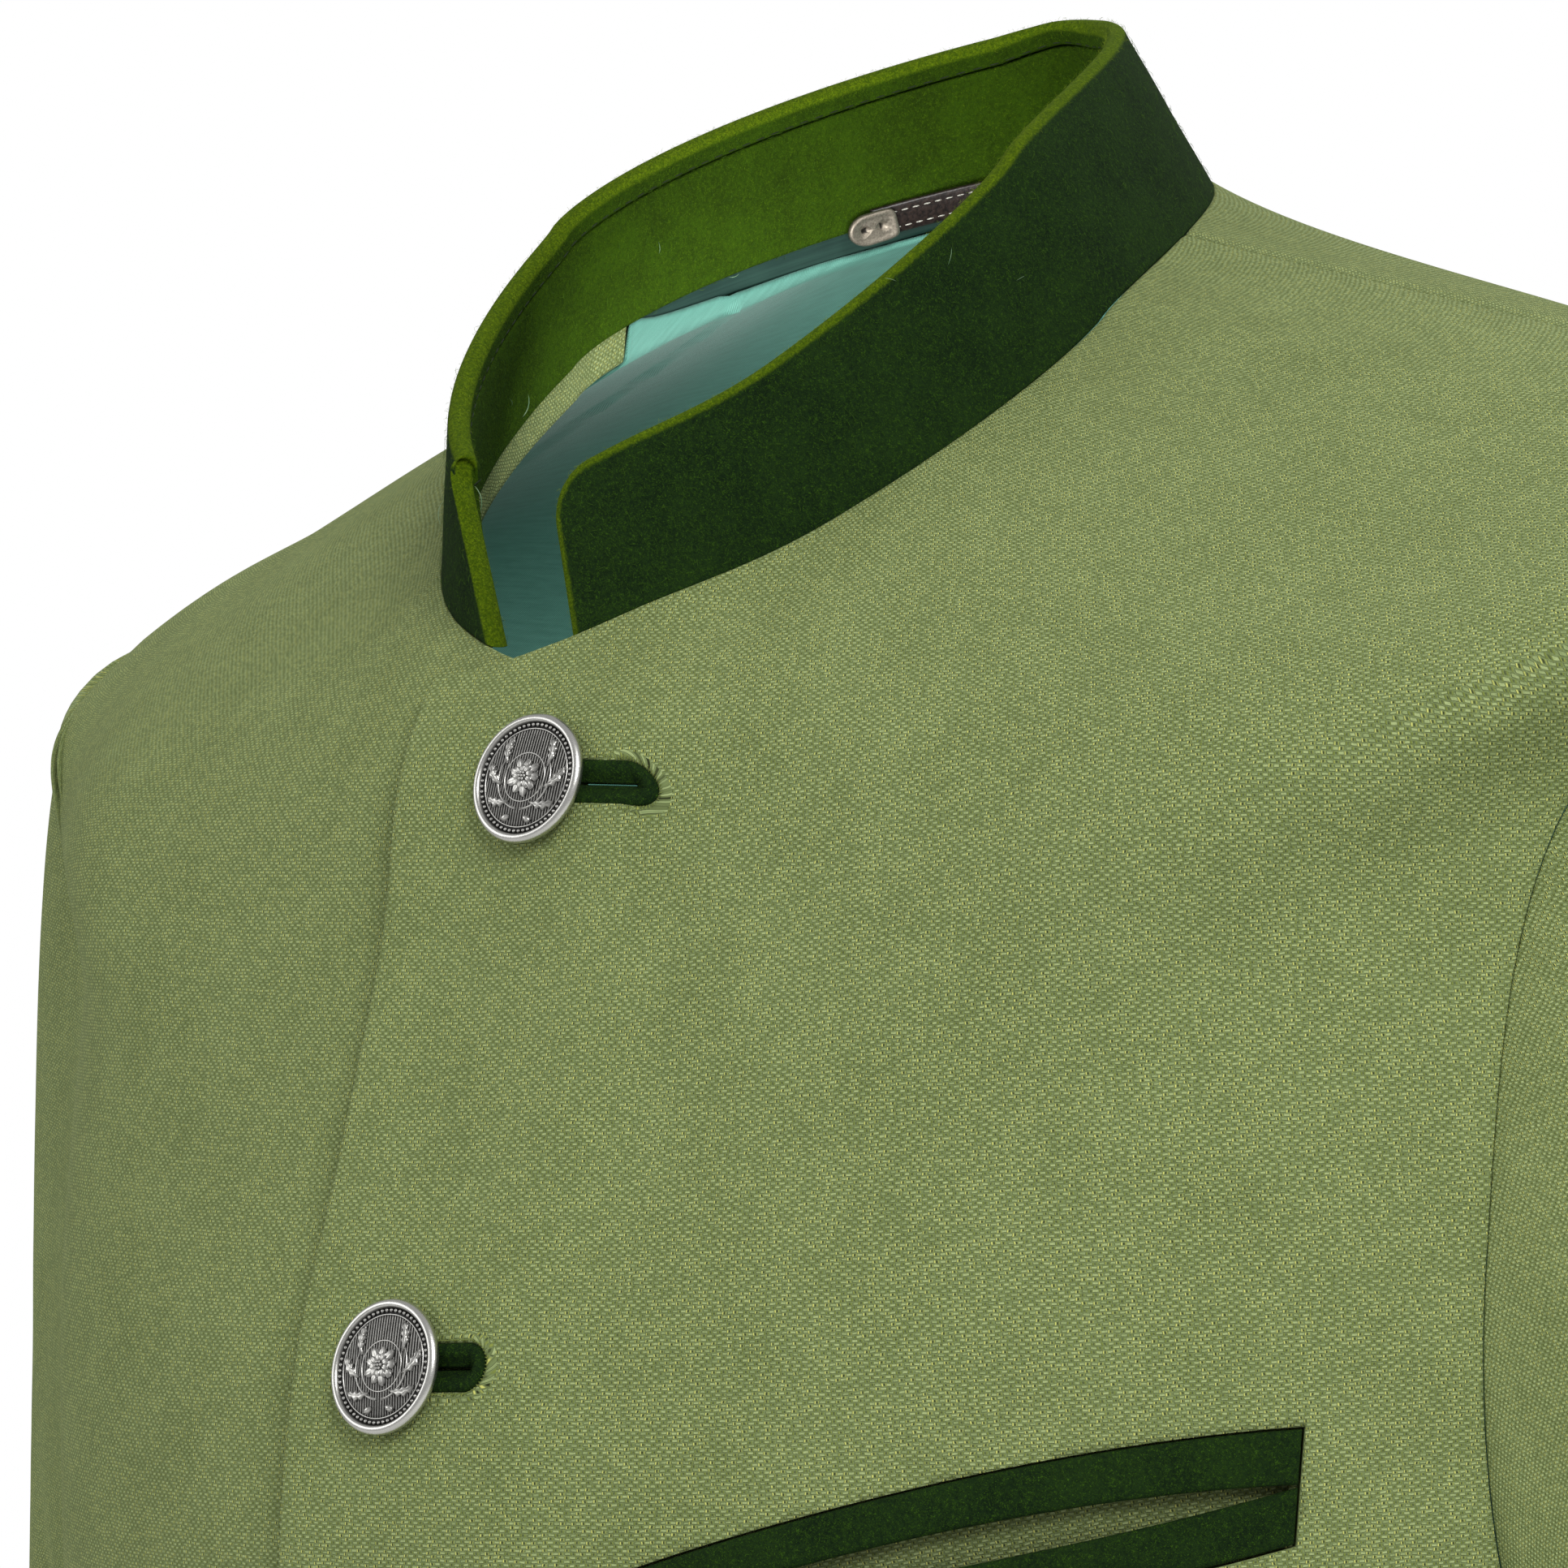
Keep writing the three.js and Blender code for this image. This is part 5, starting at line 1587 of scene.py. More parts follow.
def silver_finish(name):
    metal = Finish(name)
    worn = metal.attribute("worn")
    place = metal.place()
    patina = metal.noise(place, 900.0, detail=3.0, rough=0.6)
    scratches = metal.noise(place, 4000.0, detail=2.0)
    level = worn + (patina - 0.5) * 0.35
    tone = metal.mix(level.fade(0.05, 0.5), SILVER_DARK, SILVER_MID)
    tone = metal.mix(level.fade(0.5, 1.0), tone, SILVER_BRIGHT)
    metal.set(
        Base_Color=tone,
        Metallic=level.fade(0.0, 0.35) * 0.35 + 0.62,
        Roughness=0.5 - level.fade(0.1, 1.0) * 0.22 + (scratches - 0.5) * 0.1,
        Normal=metal.bump(patina * 0.6 + scratches * 0.4, 0.03),
    )
    return metal.material


SILVER = silver_finish("antique_silver")
print("silver nodes:", len(SILVER.node_tree.nodes))

# %% [markdown]
# The body of a button is the same all round, so one half section says it all: shank, back, rolled
# rim and the slightly domed ground. Height and wear are written beside each radius.

# %% Turned body
DOME = 0.55
TURNED_SIDES = 96
# Radius, height above the back of the button, and wear.
COIN_SECTION = [
    (0, -2.7, 0.3), (0.8, -2.7, 0.3), (0.8, -0.1, 0.3), (1.2, 0.0, 0.3), (9.6, 0.05, 0.4), (10.9, 0.3, 0.6),
    (11.4, 0.75, 0.9), (11.5, 1.25, 1.0), (11.35, 1.75, 1.0), (10.95, 2.15, 1.0), (10.5, 2.28, 1.0),
    (10.15, 2.15, 0.9), (9.95, 1.85, 0.45), (9.85, 1.6, 0.0), (9.5, 1.5, 0.0), (9.1, 1.52, 0.05),
]


def dome(radius):
    return 1.5 + DOME * (1 - (np.asarray(radius) / 9.4) ** 2)


def turned(section):
    """Points, faces and wear of a solid of revolution whose section starts and ends on the axis."""
    sides = TURNED_SIDES
    turn = np.arange(sides) / sides * 2 * np.pi
    around = np.stack([np.cos(turn), np.sin(turn)], -1)
    rings = [[(0, 0, section[0][1])]]
    worn = [section[0][2]]
    for radius, height, wear in section[1:-1]:
        rings.append(np.column_stack([around * radius, np.full(sides, height)]))
        worn += [wear] * sides
    rings.append([(0, 0, section[-1][1])])
    worn.append(section[-1][2])
    points = np.concatenate(rings)
    first = np.arange(sides)
    after = (first + 1) % sides
    faces = [[0, 1 + int(b), 1 + int(a)] for a, b in zip(first, after)]
    for k in range(len(section) - 3):
        low = 1 + k * sides
        high = low + sides
        faces += [[low + a, low + b, high + b, high + a] for a, b in zip(first, after)]
    top = len(points) - 1
    low = top - sides
    faces += [[top, low + int(a), low + int(b)] for a, b in zip(first, after)]
    return points, faces, worn


def mixed_object(name, parts, material):
    """One mesh object from several lists of points, faces and wear."""
    points, faces, worn, start = [], [], [], 0
    for part_points, part_faces, part_worn in parts:
        points.append(np.asarray(part_points, float))
        faces += [[int(start + k) for k in face] for face in part_faces]
        worn += list(part_worn)
        start += len(part_points)
    mesh = bpy.data.meshes.new(name)
    mesh.from_pydata((np.concatenate(points) * MM).tolist(), [], faces)
    attribute = mesh.attributes.new("worn", "FLOAT", "POINT")
    attribute.data.foreach_set("value", np.asarray(worn, np.float32))
    mesh.materials.append(material)
    mesh.polygons.foreach_set("use_smooth", np.ones(len(mesh.polygons), bool))
    made = bpy.data.objects.new(name, mesh)
    bpy.context.scene.collection.objects.link(made)
    return made


inner_radii = [8.4, 7.4, 6.2, 4.8, 3.2, 1.6]
ground = [(r, float(dome(r)), 0.05) for r in inner_radii] + [(0, float(dome(0)), 0.05)]
coin = turned(COIN_SECTION + ground)
print("turned body:", len(coin[1]), "faces")

# %% [markdown]
# The ornament is built as a die cutter would raise it: every petal, leaf, stalk and seed is a low
# closed form along a spine, with a sunk midrib, standing on the domed ground. The design is a
# general one of the alpine dress: an edelweiss between two oak twigs.


# %% Petals and leaves
def leaf(spine, half_width, height, base, midrib=0.35, across=9):
    """A closed raised leaf along a spine of points, half_width and height given from 0 to 1."""
    spine = np.asarray(spine, float)
    count = len(spine)
    t = np.linspace(0, 1, count)
    along = unit(np.gradient(spine, axis=0))
    aside = np.stack([-along[:, 1], along[:, 0]], -1)
    s = np.linspace(-1, 1, across)
    flat = spine[:, None] + aside[:, None] * (s[None, :, None] * half_width(t)[:, None, None])
    crown = (1 - s**2) ** 0.6 * (1 - midrib * np.exp(-((s / 0.16) ** 2)))
    lift = height * np.sin(np.pi * np.clip(t, 0.03, 0.97))[:, None] ** 0.4 * crown[None]
    ground_height = dome(np.hypot(flat[..., 0], flat[..., 1])) + base
    top = np.concatenate([flat, (ground_height + lift)[..., None]], -1).reshape(-1, 3)
    under = np.concatenate([flat, (ground_height - 0.35)[..., None]], -1).reshape(-1, 3)
    index = np.arange(count * across).reshape(count, across)
    other = index + count * across
    faces = [list(f) for f in grid_faces(index)[:, ::-1]] + [list(f) for f in grid_faces(other)]
    border = np.concatenate([index[0, :-1], index[:-1, -1], index[-1, :0:-1], index[:0:-1, 0]])
    shift = count * across
    for a, b in zip(border, np.roll(border, -1)):
        faces.append([b, a, a + shift, b + shift])
    wear = 0.35 + 0.65 * np.clip(lift / height, 0, 1)
    return np.concatenate([top, under]), faces, [*wear.ravel(), *np.zeros(count * across)]


def curved_spine(start, end, bow, count):
    """A spine from start to end that bows to its left by bow."""
    start, end = np.array(start, float), np.array(end, float)
    t = np.linspace(0, 1, count)[:, None]
    aside = np.array([-(end - start)[1], (end - start)[0]])
    return start + (end - start) * t + aside * bow * 4 * t * (1 - t)


def petal_width(width):
    return lambda t: width * np.sin(np.pi * np.clip(t, 0.02, 0.985)) ** 0.55 * (0.75 + 0.5 * t)


def oak_width(width, lobes):
    def shape(t):
        envelope = np.sin(np.pi * np.clip(t, 0.03, 0.97)) ** 0.6 * (0.6 + 0.55 * t)
        return width * envelope * (0.78 + 0.3 * np.sin(t * lobes * 2 * np.pi - 0.6))

    return shape


def acorn_width(t):
    return 0.6 * np.sin(np.pi * np.clip(t, 0.02, 0.98)) ** 0.5


def seed_width(t):
    return 0.3 * np.sqrt(1 - (2 * np.clip(t, 0.02, 0.98) - 1) ** 2)


def edelweiss(radius):
    """Two layers of nine petals, the inner ones between the outer ones."""
    petals = 9
    parts = []
    for layer, (reach, base, wide) in enumerate([(radius, 0.25, 0.85), (radius * 0.68, 0.5, 0.62)]):
        for k in range(petals):
            turn = (k + 0.5 * layer) / petals * 2 * math.pi
            way = np.array([math.cos(turn), math.sin(turn)])
            spine = curved_spine(way * 0.5, way * reach * (1 if k % 2 else 0.9), 0.03, 9)
            parts.append(leaf(spine, petal_width(wide), 0.5, base, midrib=0.45, across=7))
    return parts


def oak_twig(side):
    """Three lobed leaves and their stalk on one side of the flower."""
    parts = []
    stalk = [(side * 5.6 * math.sin(a), -5.6 * math.cos(a)) for a in np.radians(np.linspace(4, 128, 24))]
    parts.append(leaf(stalk, lambda t: 0.2 * (1 - 0.4 * t) + 0.02, 0.3, 0.15, midrib=0, across=5))
    places = ((28, 1.75, 0.25), (72, 1.95, 0.3), (116, 1.8, 0.25))
    for angle, width, bow in places:
        a = math.radians(angle)
        foot = np.array([side * 4.9 * math.sin(a), -4.9 * math.cos(a)])
        b = math.radians(angle + 34)
        tip = np.array([side * 8.3 * math.sin(b), -8.3 * math.cos(b)])
        spine = curved_spine(foot, tip, -side * bow * 0.45, 26)
        parts.append(leaf(spine, oak_width(width * 0.62, 4), 0.55, 0.2, midrib=0.5))
    acorn_at = np.array([side * 1.5, -6.9])
    spine = curved_spine(acorn_at, acorn_at + [side * 1.7, -0.7], 0.0, 9)
    parts.append(leaf(spine, acorn_width, 0.6, 0.2, midrib=0))
    return parts


print("edelweiss:", len(edelweiss(3.6)), "petals, each oak twig:", len(oak_twig(1)), "pieces")

# %% [markdown]
# The beads and the ribs repeat, so they are recipes. A bead is a small sphere, half sunk in the
# ground, and a rib is a thin bar as long as the round ground is wide at its place.


# %% Beads and ribs
def bead_recipe():
    """A ring of half-sunk beads inside the rim."""
    recipe = Recipe("bead_ring", {"count": 60, "ring": 9.45 * MM, "bead": 0.36 * MM}, SILVER)
    circle = recipe.node(
        "GeometryNodeMeshCircle", values={"Vertices": recipe.input("count"), "Radius": recipe.input("ring")}
    )
    size = recipe.input("bead")
    bead = recipe.node("GeometryNodeMeshIcoSphere", values={"Radius": size, "Subdivisions": 2})
    placed = recipe.node("GeometryNodeInstanceOnPoints", values={0: circle, "Instance": bead})
    recipe.finish(placed)
    return recipe


def rib_recipe():
    """Parallel bars, each as long as the round ground is wide at its place."""
    sizes = {"count": 32, "pitch": 0.56 * MM, "reach": 8.9 * MM, "half": 0.15 * MM}
    recipe = Recipe("ribs", sizes, SILVER)
    first = recipe.input("pitch") * (recipe.input("count") - 1) * -0.5
    line = recipe.node(
        "GeometryNodeMeshLine",
        values={
            "Count": recipe.input("count"),
            "Start Location": recipe.joined(first, 0.0),
            "Offset": recipe.joined(recipe.input("pitch"), 0.0),
        },
    )
    place = recipe.node("GeometryNodeInputPosition")
    x = recipe.node("ShaderNodeSeparateXYZ", values={0: place})
    reach = recipe.input("reach")
    length = (reach * reach - x * x).most(0.0).power(0.5)
    bar = recipe.node(
        "GeometryNodeMeshCylinder", values={"Vertices": 8, "Side Segments": 24, "Radius": 1.0, "Depth": 2.0}
    )
    placed = recipe.node(
        "GeometryNodeInstanceOnPoints",
        values={
            0: line,
            "Instance": bar,
            "Rotation": (math.radians(90), 0.0, 0.0),
            "Scale": recipe.joined(recipe.input("half"), recipe.input("half"), length),
        },
    )
    recipe.finish(placed)
    return recipe


def recipe_part(recipe, name, height, wear):
    """The result of a recipe as points, faces and wear, laid on the domed ground."""
    made = recipe.apply(line_object(name, [(0, 0, 0), (1, 0, 0)]))
    points = np.array([v.co for v in made.data.vertices]) / MM
    faces = [list(p.vertices) for p in made.data.polygons]
    lift = points[:, 2].copy()
    points[:, 2] = lift + height(np.hypot(points[:, 0], points[:, 1]))
    top = lift.max()
    bpy.data.meshes.remove(made.data)
    return points, faces, list(np.clip(lift / top, 0, 1) * wear)


beads = recipe_part(bead_recipe(), "beads", lambda r: np.full_like(r, 1.62), 1.0)
ribs = recipe_part(rib_recipe(), "ribs", lambda r: dome(r) + 0.02, 0.62)

# %% [markdown]
# Two raised wires frame the design, one round the flower and one inside the beads. All the parts
# are then joined in one mesh, which carries its wear point by point.


# %% The button's design
def flat_ring(radius, half, height):
    """A raised wire ring on the domed ground."""
    sides = 64
    turn = np.arange(sides) / sides * 2 * np.pi
    way = np.stack([np.cos(turn), np.sin(turn)], -1)
    angles = np.radians([200, 160, 125, 90, 55, 20, -20])
    section = [(half * math.cos(a), height * math.sin(a)) for a in angles]
    loops = []
    for inward, up in section:
        loops.append(np.column_stack([way * (radius - inward), dome(radius) + up + np.zeros(sides)]))
    index = np.arange(len(loops) * sides).reshape(len(loops), sides)
    index = np.concatenate([index, index[:1]])
    index = np.concatenate([index, index[:, :1]], 1)
    wear = [w for _, up in section for w in [max(up, 0) / height] * sides]
    return np.concatenate(loops), [list(f) for f in grid_faces(index)[:, ::-1]], wear


seed_head = [(0.0, 0.0)] + [(0.62 * math.cos(a), 0.62 * math.sin(a)) for a in np.radians(range(0, 360, 60))]
seeds = []
for x, y in seed_head:
    spine = [(x + 0.3 * s, y) for s in np.linspace(-1, 1, 7)]
    seeds.append(leaf(spine, seed_width, 0.4, 0.85, midrib=0, across=7))
ornament = [flat_ring(8.75, 0.14, 0.22), flat_ring(4.3, 0.14, 0.24), *edelweiss(3.6), *seeds]
ornament += [*oak_twig(1), *oak_twig(-1)]
button_shape = mixed_object("button_shape", [coin, beads, ribs, *ornament], SILVER)
print("button faces:", len(button_shape.data.polygons))

# %% [markdown]
# The same casting is sewn on five times. Buttons turn on their shanks, so each stands at its own
# small angle.

# %% Place the five buttons
BUTTON_SPINS = (-6, 5, -3, 8, 2)


def place_button(number, place):
    name = f"button_{number}_silver"
    mesh = button_shape.data.copy()
    normal = body_normals(place["theta"], place["v"])
    up = unit(np.array([0.0, 0.0, 1.0]) - normal * normal[2])
    right = np.cross(up, normal)
    spin = math.radians(BUTTON_SPINS[number - 1])
    across = right * math.cos(spin) + up * math.sin(spin)
    upward = up * math.cos(spin) - right * math.sin(spin)
    origin = body(place["theta"], place["v"]) + normal * BUTTONS["stand"]
    matrix = Matrix.Identity(4)
    for row in range(3):
        matrix[row][0], matrix[row][1] = across[row], upward[row]
        matrix[row][2], matrix[row][3] = normal[row], origin[row] * MM
    mesh.transform(matrix)
    made = bpy.data.objects.new(name, mesh)
    bpy.context.scene.collection.objects.link(made)
    return ride_with(made, "antique_silver", f"button_{number}")


for number, place in enumerate(PLACES, 1):
    place_button(number, place)
bpy.data.meshes.remove(button_shape.data)
print("buttons stand", BUTTONS["stand"], "mm off the cloth")

# %% [markdown]
# ## The breast pocket
# The pocket is a slanting slit with a felt welt above and below. The welts meet at both ends and
# bow apart between, so a lens of the linen behind them shows. Their raw felt edges lie against the
# cut edge of the linen, and they follow the folds of the front that they are sewn to.

# %% Pocket
# The backing's linen is darkened with painted shade, because it lies in shadow behind the slit.
POCKET_SHADED_LINEN = linen_finish("pocket_linen", 0.62)
POCKET_WIDTH = 87.0
ALLOWANCE = 4.0
BACKING = {"margin": 0.012, "overhang": 2.5, "sink": 1.4}


def pocket_strip(name, node, top, bottom, out, thick, finish, inset=0.15, tall=7.0):
    """A strip between two heights, which are functions of the share along the pocket."""
    share, row = np.meshgrid(
        crowded(0, 1, 1 / 72, scale=0.8 / POCKET_WIDTH), crowded(0, 1, 1 / 9, scale=0.8 / tall)
    )
    theta = blend(POCKET["inner"] + inset, POCKET["outer"] - inset, share)
    v = blend(bottom(share), top(share), row)
    base, normals = body(theta, v), body_normals(theta, v)
    lift = overlap_lift(theta, v) + front_folds(theta, v)
    drop = edge_drop(edge_distance(base), thick / 2)
    puff = 0.12 * np.sin(share * 31) * np.sin(row * np.pi)
    outer, inner = cloth_layers(base, normals, lift + out + puff, thick, drop)
    uv = flat_pattern(base, normals, len(row) // 2)
    piece = shell_mesh(name, outer, inner, [finish], uv, {"edge": np.full(theta.shape, 20.0)})
    finish_cloth(piece, node, cut_size(uv), turned=ALLOWANCE)
    return piece


print("pocket strips are", POCKET_WIDTH, "mm long before their turned ends")

# %% [markdown]
# The two welts and the backing are strips between two curves. The welts lie on the front and the
# backing hangs behind it, wider than the opening all round.


# %% Welts and backing
def upper_edges(share):
    return pocket_top(share) - WELT["inset"], pocket_top(share) - WELT["height"] + WELT["inset"] / 2


def lower_edges(share):
    return pocket_bottom(share) + WELT["height"] - WELT["inset"] / 2, pocket_bottom(share) + WELT["inset"]


for name, edges in (("upper", upper_edges), ("lower", lower_edges)):
    pocket_strip(
        f"pocket_welt_{name}_felt",
        f"pocket_welt_{name}",
        lambda share: edges(share)[0],
        lambda share: edges(share)[1],
        0.55,
        2.0,
        FELT_CLOTH,
    )
pocket_strip(
    "pocket_backing_linen",
    "pocket_backing",
    lambda share: pocket_top(share) + BACKING["margin"],
    lambda share: pocket_bottom(share) - BACKING["margin"],
    -(CLOTH + BACKING["sink"]),
    FACING,
    POCKET_SHADED_LINEN,
    inset=-BACKING["overhang"],
    tall=28.0,
)

# %% [markdown]
# ## Inside the neck
# Three pieces show inside the collar: a linen facing behind the right front, a satin facing
# across the back of the neck, coloured dark teal with painted shade, and below it the teal lining,
# which hangs from that facing with one pressed pleat for ease. Satin and twill are fine weaves, so
# their finishes are finer and smoother than the linen, and the lining has the diagonal rib of a twill.

# %% Satin and twill
# Painted shade: the satin is coloured as a darker copy of the teal lining, for the shadow under the collar.
SHADED_SATIN_DARK = linear(18, 41, 36)
SHADED_SATIN_LIGHT = linear(32, 58, 50)
TEAL = linear(88, 142, 128)
TEAL_DARK = linear(62, 110, 98)


def satin_finish(name):
    satin = Finish(name)
    u, v = satin.across_and_up()
    streak = satin.noise(satin.joined(u * 0.02, v * 1.6), 1.0, detail=2.0)
    blots = satin.noise(satin.joined(u, v), 0.07, detail=2.0)
    satin.set(
        Base_Color=satin.mix((streak * 0.5 + blots * 0.5).fade(0.3, 0.7), SHADED_SATIN_DARK, SHADED_SATIN_LIGHT),
        Roughness=0.5,
        Specular_IOR_Level=0.35,
        Normal=satin.bump(streak, 0.05),
    )
    return satin.material


def twill_finish(name):
    twill = Finish(name)
    u, v = twill.across_and_up()
    diagonal = ((u + v) / 0.46).part()
    rib = 1 - (diagonal * 2 - 1).size()
    slub = twill.noise(twill.joined(u * 0.15, v * 1.1), 1.0, detail=2.0)
    tone = twill.mix((rib * 0.6 + slub * 0.6).fade(0.2, 0.95), TEAL_DARK, TEAL)
    twill.set(
        Base_Color=tone,
        Roughness=0.62,
        Specular_IOR_Level=0.3,
        Sheen_Weight=0.1,
        Normal=twill.bump(rib, 0.05),
    )
    return twill.material


# Painted shade: the facing's linen is darkened for the shadow inside the neck.
SHADED_LINEN = linen_finish("shaded_linen", 0.62)
SATIN = satin_finish("dark_teal_satin")
TWILL = twill_finish("teal_twill")
print("inside the neck:", SHADED_LINEN.name, SATIN.name, TWILL.name)

# %% [markdown]
# The pieces inside lie against the panels, a little further in, and above the neckline they run on
# up against the outer felt, where the collar is sewn over them. One function gives both.

# %% The surface inside the neck
INSIDE = {"leave": 0.985, "per_v": 400, "top": 1.0142, "apart": -1.9}
BACK_FACING = {"shoulder": 1.0112, "middle": 0.994}


def inside_start(row):
    """The angle from the centre front at which linen gives way to satin and lining."""
    near = angle_in_row(LAP["from"], row)
    return near + (seam_angle(True, row) - near) * 6 / 7


def inside_point(angle, row, depth, risen=1.0):
    """Cloth inside the neck: under the panels, then above the seam against the outer felt."""
    angle, row, depth = np.broadcast_arrays(angle, row, np.asarray(depth, float))
    left = angle <= 180
    theta = np.where(left, angle, 360 - angle)
    flip = np.stack([np.where(left, 1, -1), np.ones_like(depth), np.ones_like(depth)], -1)
    v = front_row(theta, np.minimum(row, 1))
    own = (body(theta, v) - body_normals(theta, v) * depth[..., None]) * flip
    seam, up, inward, _, _ = collar_frame(angle)
    normal = body_normals(theta, front_row(theta, 1.0)) * flip
    away = depth + FELT - CLOTH
    height = np.maximum(row - 1, 0) * INSIDE["per_v"]
    sink = np.maximum(0, depth + away * (normal * inward).sum(-1)) * np.clip(1 - height / 5, 0, 1)
    above = seam + inward * away[..., None] - normal * sink[..., None] + up * height[..., None]
    share = smooth(row, INSIDE["leave"], 1) * risen
    return own + (above - own) * share[..., None]


def inside_piece(name, node, angle, row, depth, thick, finish, risen=1.0, lift=0.0, turned=0.0):
    """A thin cloth on that surface. Its columns run to the left and its rows run up."""
    rough = inside_point(angle, row, depth, risen)
    drop = edge_drop(edge_distance(rough), thick / 2)
    outer = inside_point(angle, row, depth - lift + drop, risen)
    inner = inside_point(angle, row, depth - lift + thick - drop, risen)
    normals = unit(np.cross(np.gradient(rough, axis=1), np.gradient(rough, axis=0)))
    uv = flat_pattern(rough, normals, angle.shape[0] // 2, start=angle.shape[1] // 2)
    piece = shell_mesh(name, outer, inner, [finish], uv)
    finish_cloth(piece, node, cut_size(uv), turned=turned)
    return piece


def back_facing_v(angle):
    share = np.clip(1 - np.abs(angle - 180) / (180 - inside_start(1.0)), 0, 1)
    return blend(BACK_FACING["shoulder"], BACK_FACING["middle"], np.sqrt(share))


print("the linen gives way to satin at", round(float(inside_start(1.0))), "degrees from the front")

# %% [markdown]
# The facing of the right front is a strip of the jacket's own linen. It shows in the open neck,
# always in the shade, which is painted into its colour, and ends where the satin begins.


# %% Linen facing of the right front
def front_facing_grid():
    rows = crowded(0, 1, 1 / 44, scale=1 / 60)[:, None]
    nominal = blend(0.885, 0.99, rows)
    first = angle_in_row(-FRONT_EDGE + 0.4, nominal)
    last = inside_start(nominal) - 0.4
    theta = last + (first - last) * crowded(0, 1, 1 / 92, scale=1 / 150)
    past = theta - (360 - COLLAR_END)
    top = blend(0.994, INSIDE["top"], smooth(past, 3, 14))
    return 360 - theta, blend(0.885, top, rows), smooth(past, 0, 5)


facing_angle, facing_row, facing_risen = front_facing_grid()
inside_piece(
    "facing_right_linen",
    "facing_right",
    facing_angle,
    facing_row,
    CLOTH + 0.8,
    FACING,
    SHADED_LINEN,
    risen=facing_risen,
    lift=-shoulder_hollow(inside_point(facing_angle, facing_row, 0) * [-1, 1, 1]),
)

print("facing grid:", facing_row.shape)

# %% [markdown]
# The back of the neck is faced with satin, a narrow band between the collar and the lining,
# whose lower edge curves up to the shoulder seams. Its dark teal colour is painted shade.

# %% Satin facing across the back of the neck
satin_start = float(inside_start(1.0)) + INSIDE["apart"]
satin_angle = np.linspace(satin_start, 360 - satin_start, 171)
satin_rise = crowded(0, 1, 1 / 9, scale=1 / 22)[:, None]
satin_row = blend(back_facing_v(satin_angle), INSIDE["top"], satin_rise)
satin_angle = np.broadcast_to(satin_angle, satin_row.shape)
inside_piece(
    "facing_back_neck_satin",
    "facing_back_neck",
    satin_angle,
    satin_row,
    CLOTH + 0.45,
    FACING,
    SATIN,
    turned=ALLOWANCE,
)

print("satin from", round(satin_start, 1), "to", round(360 - satin_start, 1), "degrees")

# %% [markdown]
# The lining is a half lining: it covers the back down to about the waist. It has a
# pressed pleat, which gives when the arms reach forward, and it sags a little between its seams.

# %% Back lining
PLEAT = {"angle": 243.5, "depth": 1.6, "width": 0.9}


def lining_grid():
    rows = PANEL_ROWS[(PANEL_ROWS > 0.392) & (PANEL_ROWS < 0.999)][:, None]
    seam = seam_angle(False, rows) + 0.8
    start = blend(seam, inside_start(rows) + INSIDE["apart"], smooth(rows, V_SHOULDER, 0.96))
    angle = start + (360 - 2 * start) * crowded(0, 1, 1 / 150, scale=1 / 360)
    top = back_facing_v(angle) + 0.002
    return angle, np.where(rows > V_YOKE, blend(V_YOKE, top, (rows - V_YOKE) / (0.998 - V_YOKE)), rows)


lining_angle, lining_row = lining_grid()
from_pleat = lining_angle - PLEAT["angle"]
pleat = np.where(from_pleat > 0, smooth(from_pleat, PLEAT["width"], 0), smooth(from_pleat, -14, 0) * 0.45)
sag = 0.35 * np.sin(lining_angle / 6 + 1.5 * np.sin(lining_row * 9)) + 0.3 * np.sin(lining_row * 70)
inside_piece(
    "lining_back_twill",
    "lining_back",
    lining_angle,
    lining_row,
    CLOTH + 1.9,
    LINING,
    TWILL,
    lift=-PLEAT["depth"] * pleat + sag * 0.5,
)

# %% [markdown]
# ## The hanger loop
# At the back of the neck a short strap of dark leather-like webbing, with two rows of pale
# stitches, is held by a small pressed plate at each end. Each plate has one round end, a rolled
# edge and two riveted wells. The plates are lofted: one outline, drawn in from the edge step by
# step, each step at its own height, which gives the rolled rim and the sunk wells their shape.

# %% Hanger strap
HANGER = {"reach": 43.5, "half": 3.2, "up": 6, "off": 4.7, "thick": 1.4, "bow": 2.5}
PLATE = {"from": 40.6, "to": 47.4, "half": 3.9, "radius": 72}


def hanger_point(angle, up, depth):
    """A point by the lower edge of the inner felt, up from it and in from it by millimetres."""
    seam, up_way, in_way, _, _ = collar_frame(angle)
    belly = HANGER["bow"] * np.cos((np.asarray(angle) - 180) / HANGER["reach"] * np.pi / 2)
    return seam + up_way * (HANGER["up"] + np.asarray(up))[..., None] + in_way * (depth + belly)[..., None]


def strap_finish(name):
    strap = Finish(name)
    grain = strap.noise(strap.place(), 1400.0, detail=3.0, rough=0.6)
    strap.set(
        Base_Color=strap.mix(grain.fade(0.3, 0.7), linear(17, 12, 11), linear(44, 34, 30)),
        Roughness=0.34,
        Specular_IOR_Level=0.5,
        Normal=strap.bump(grain, 0.08),
    )
    return strap.material


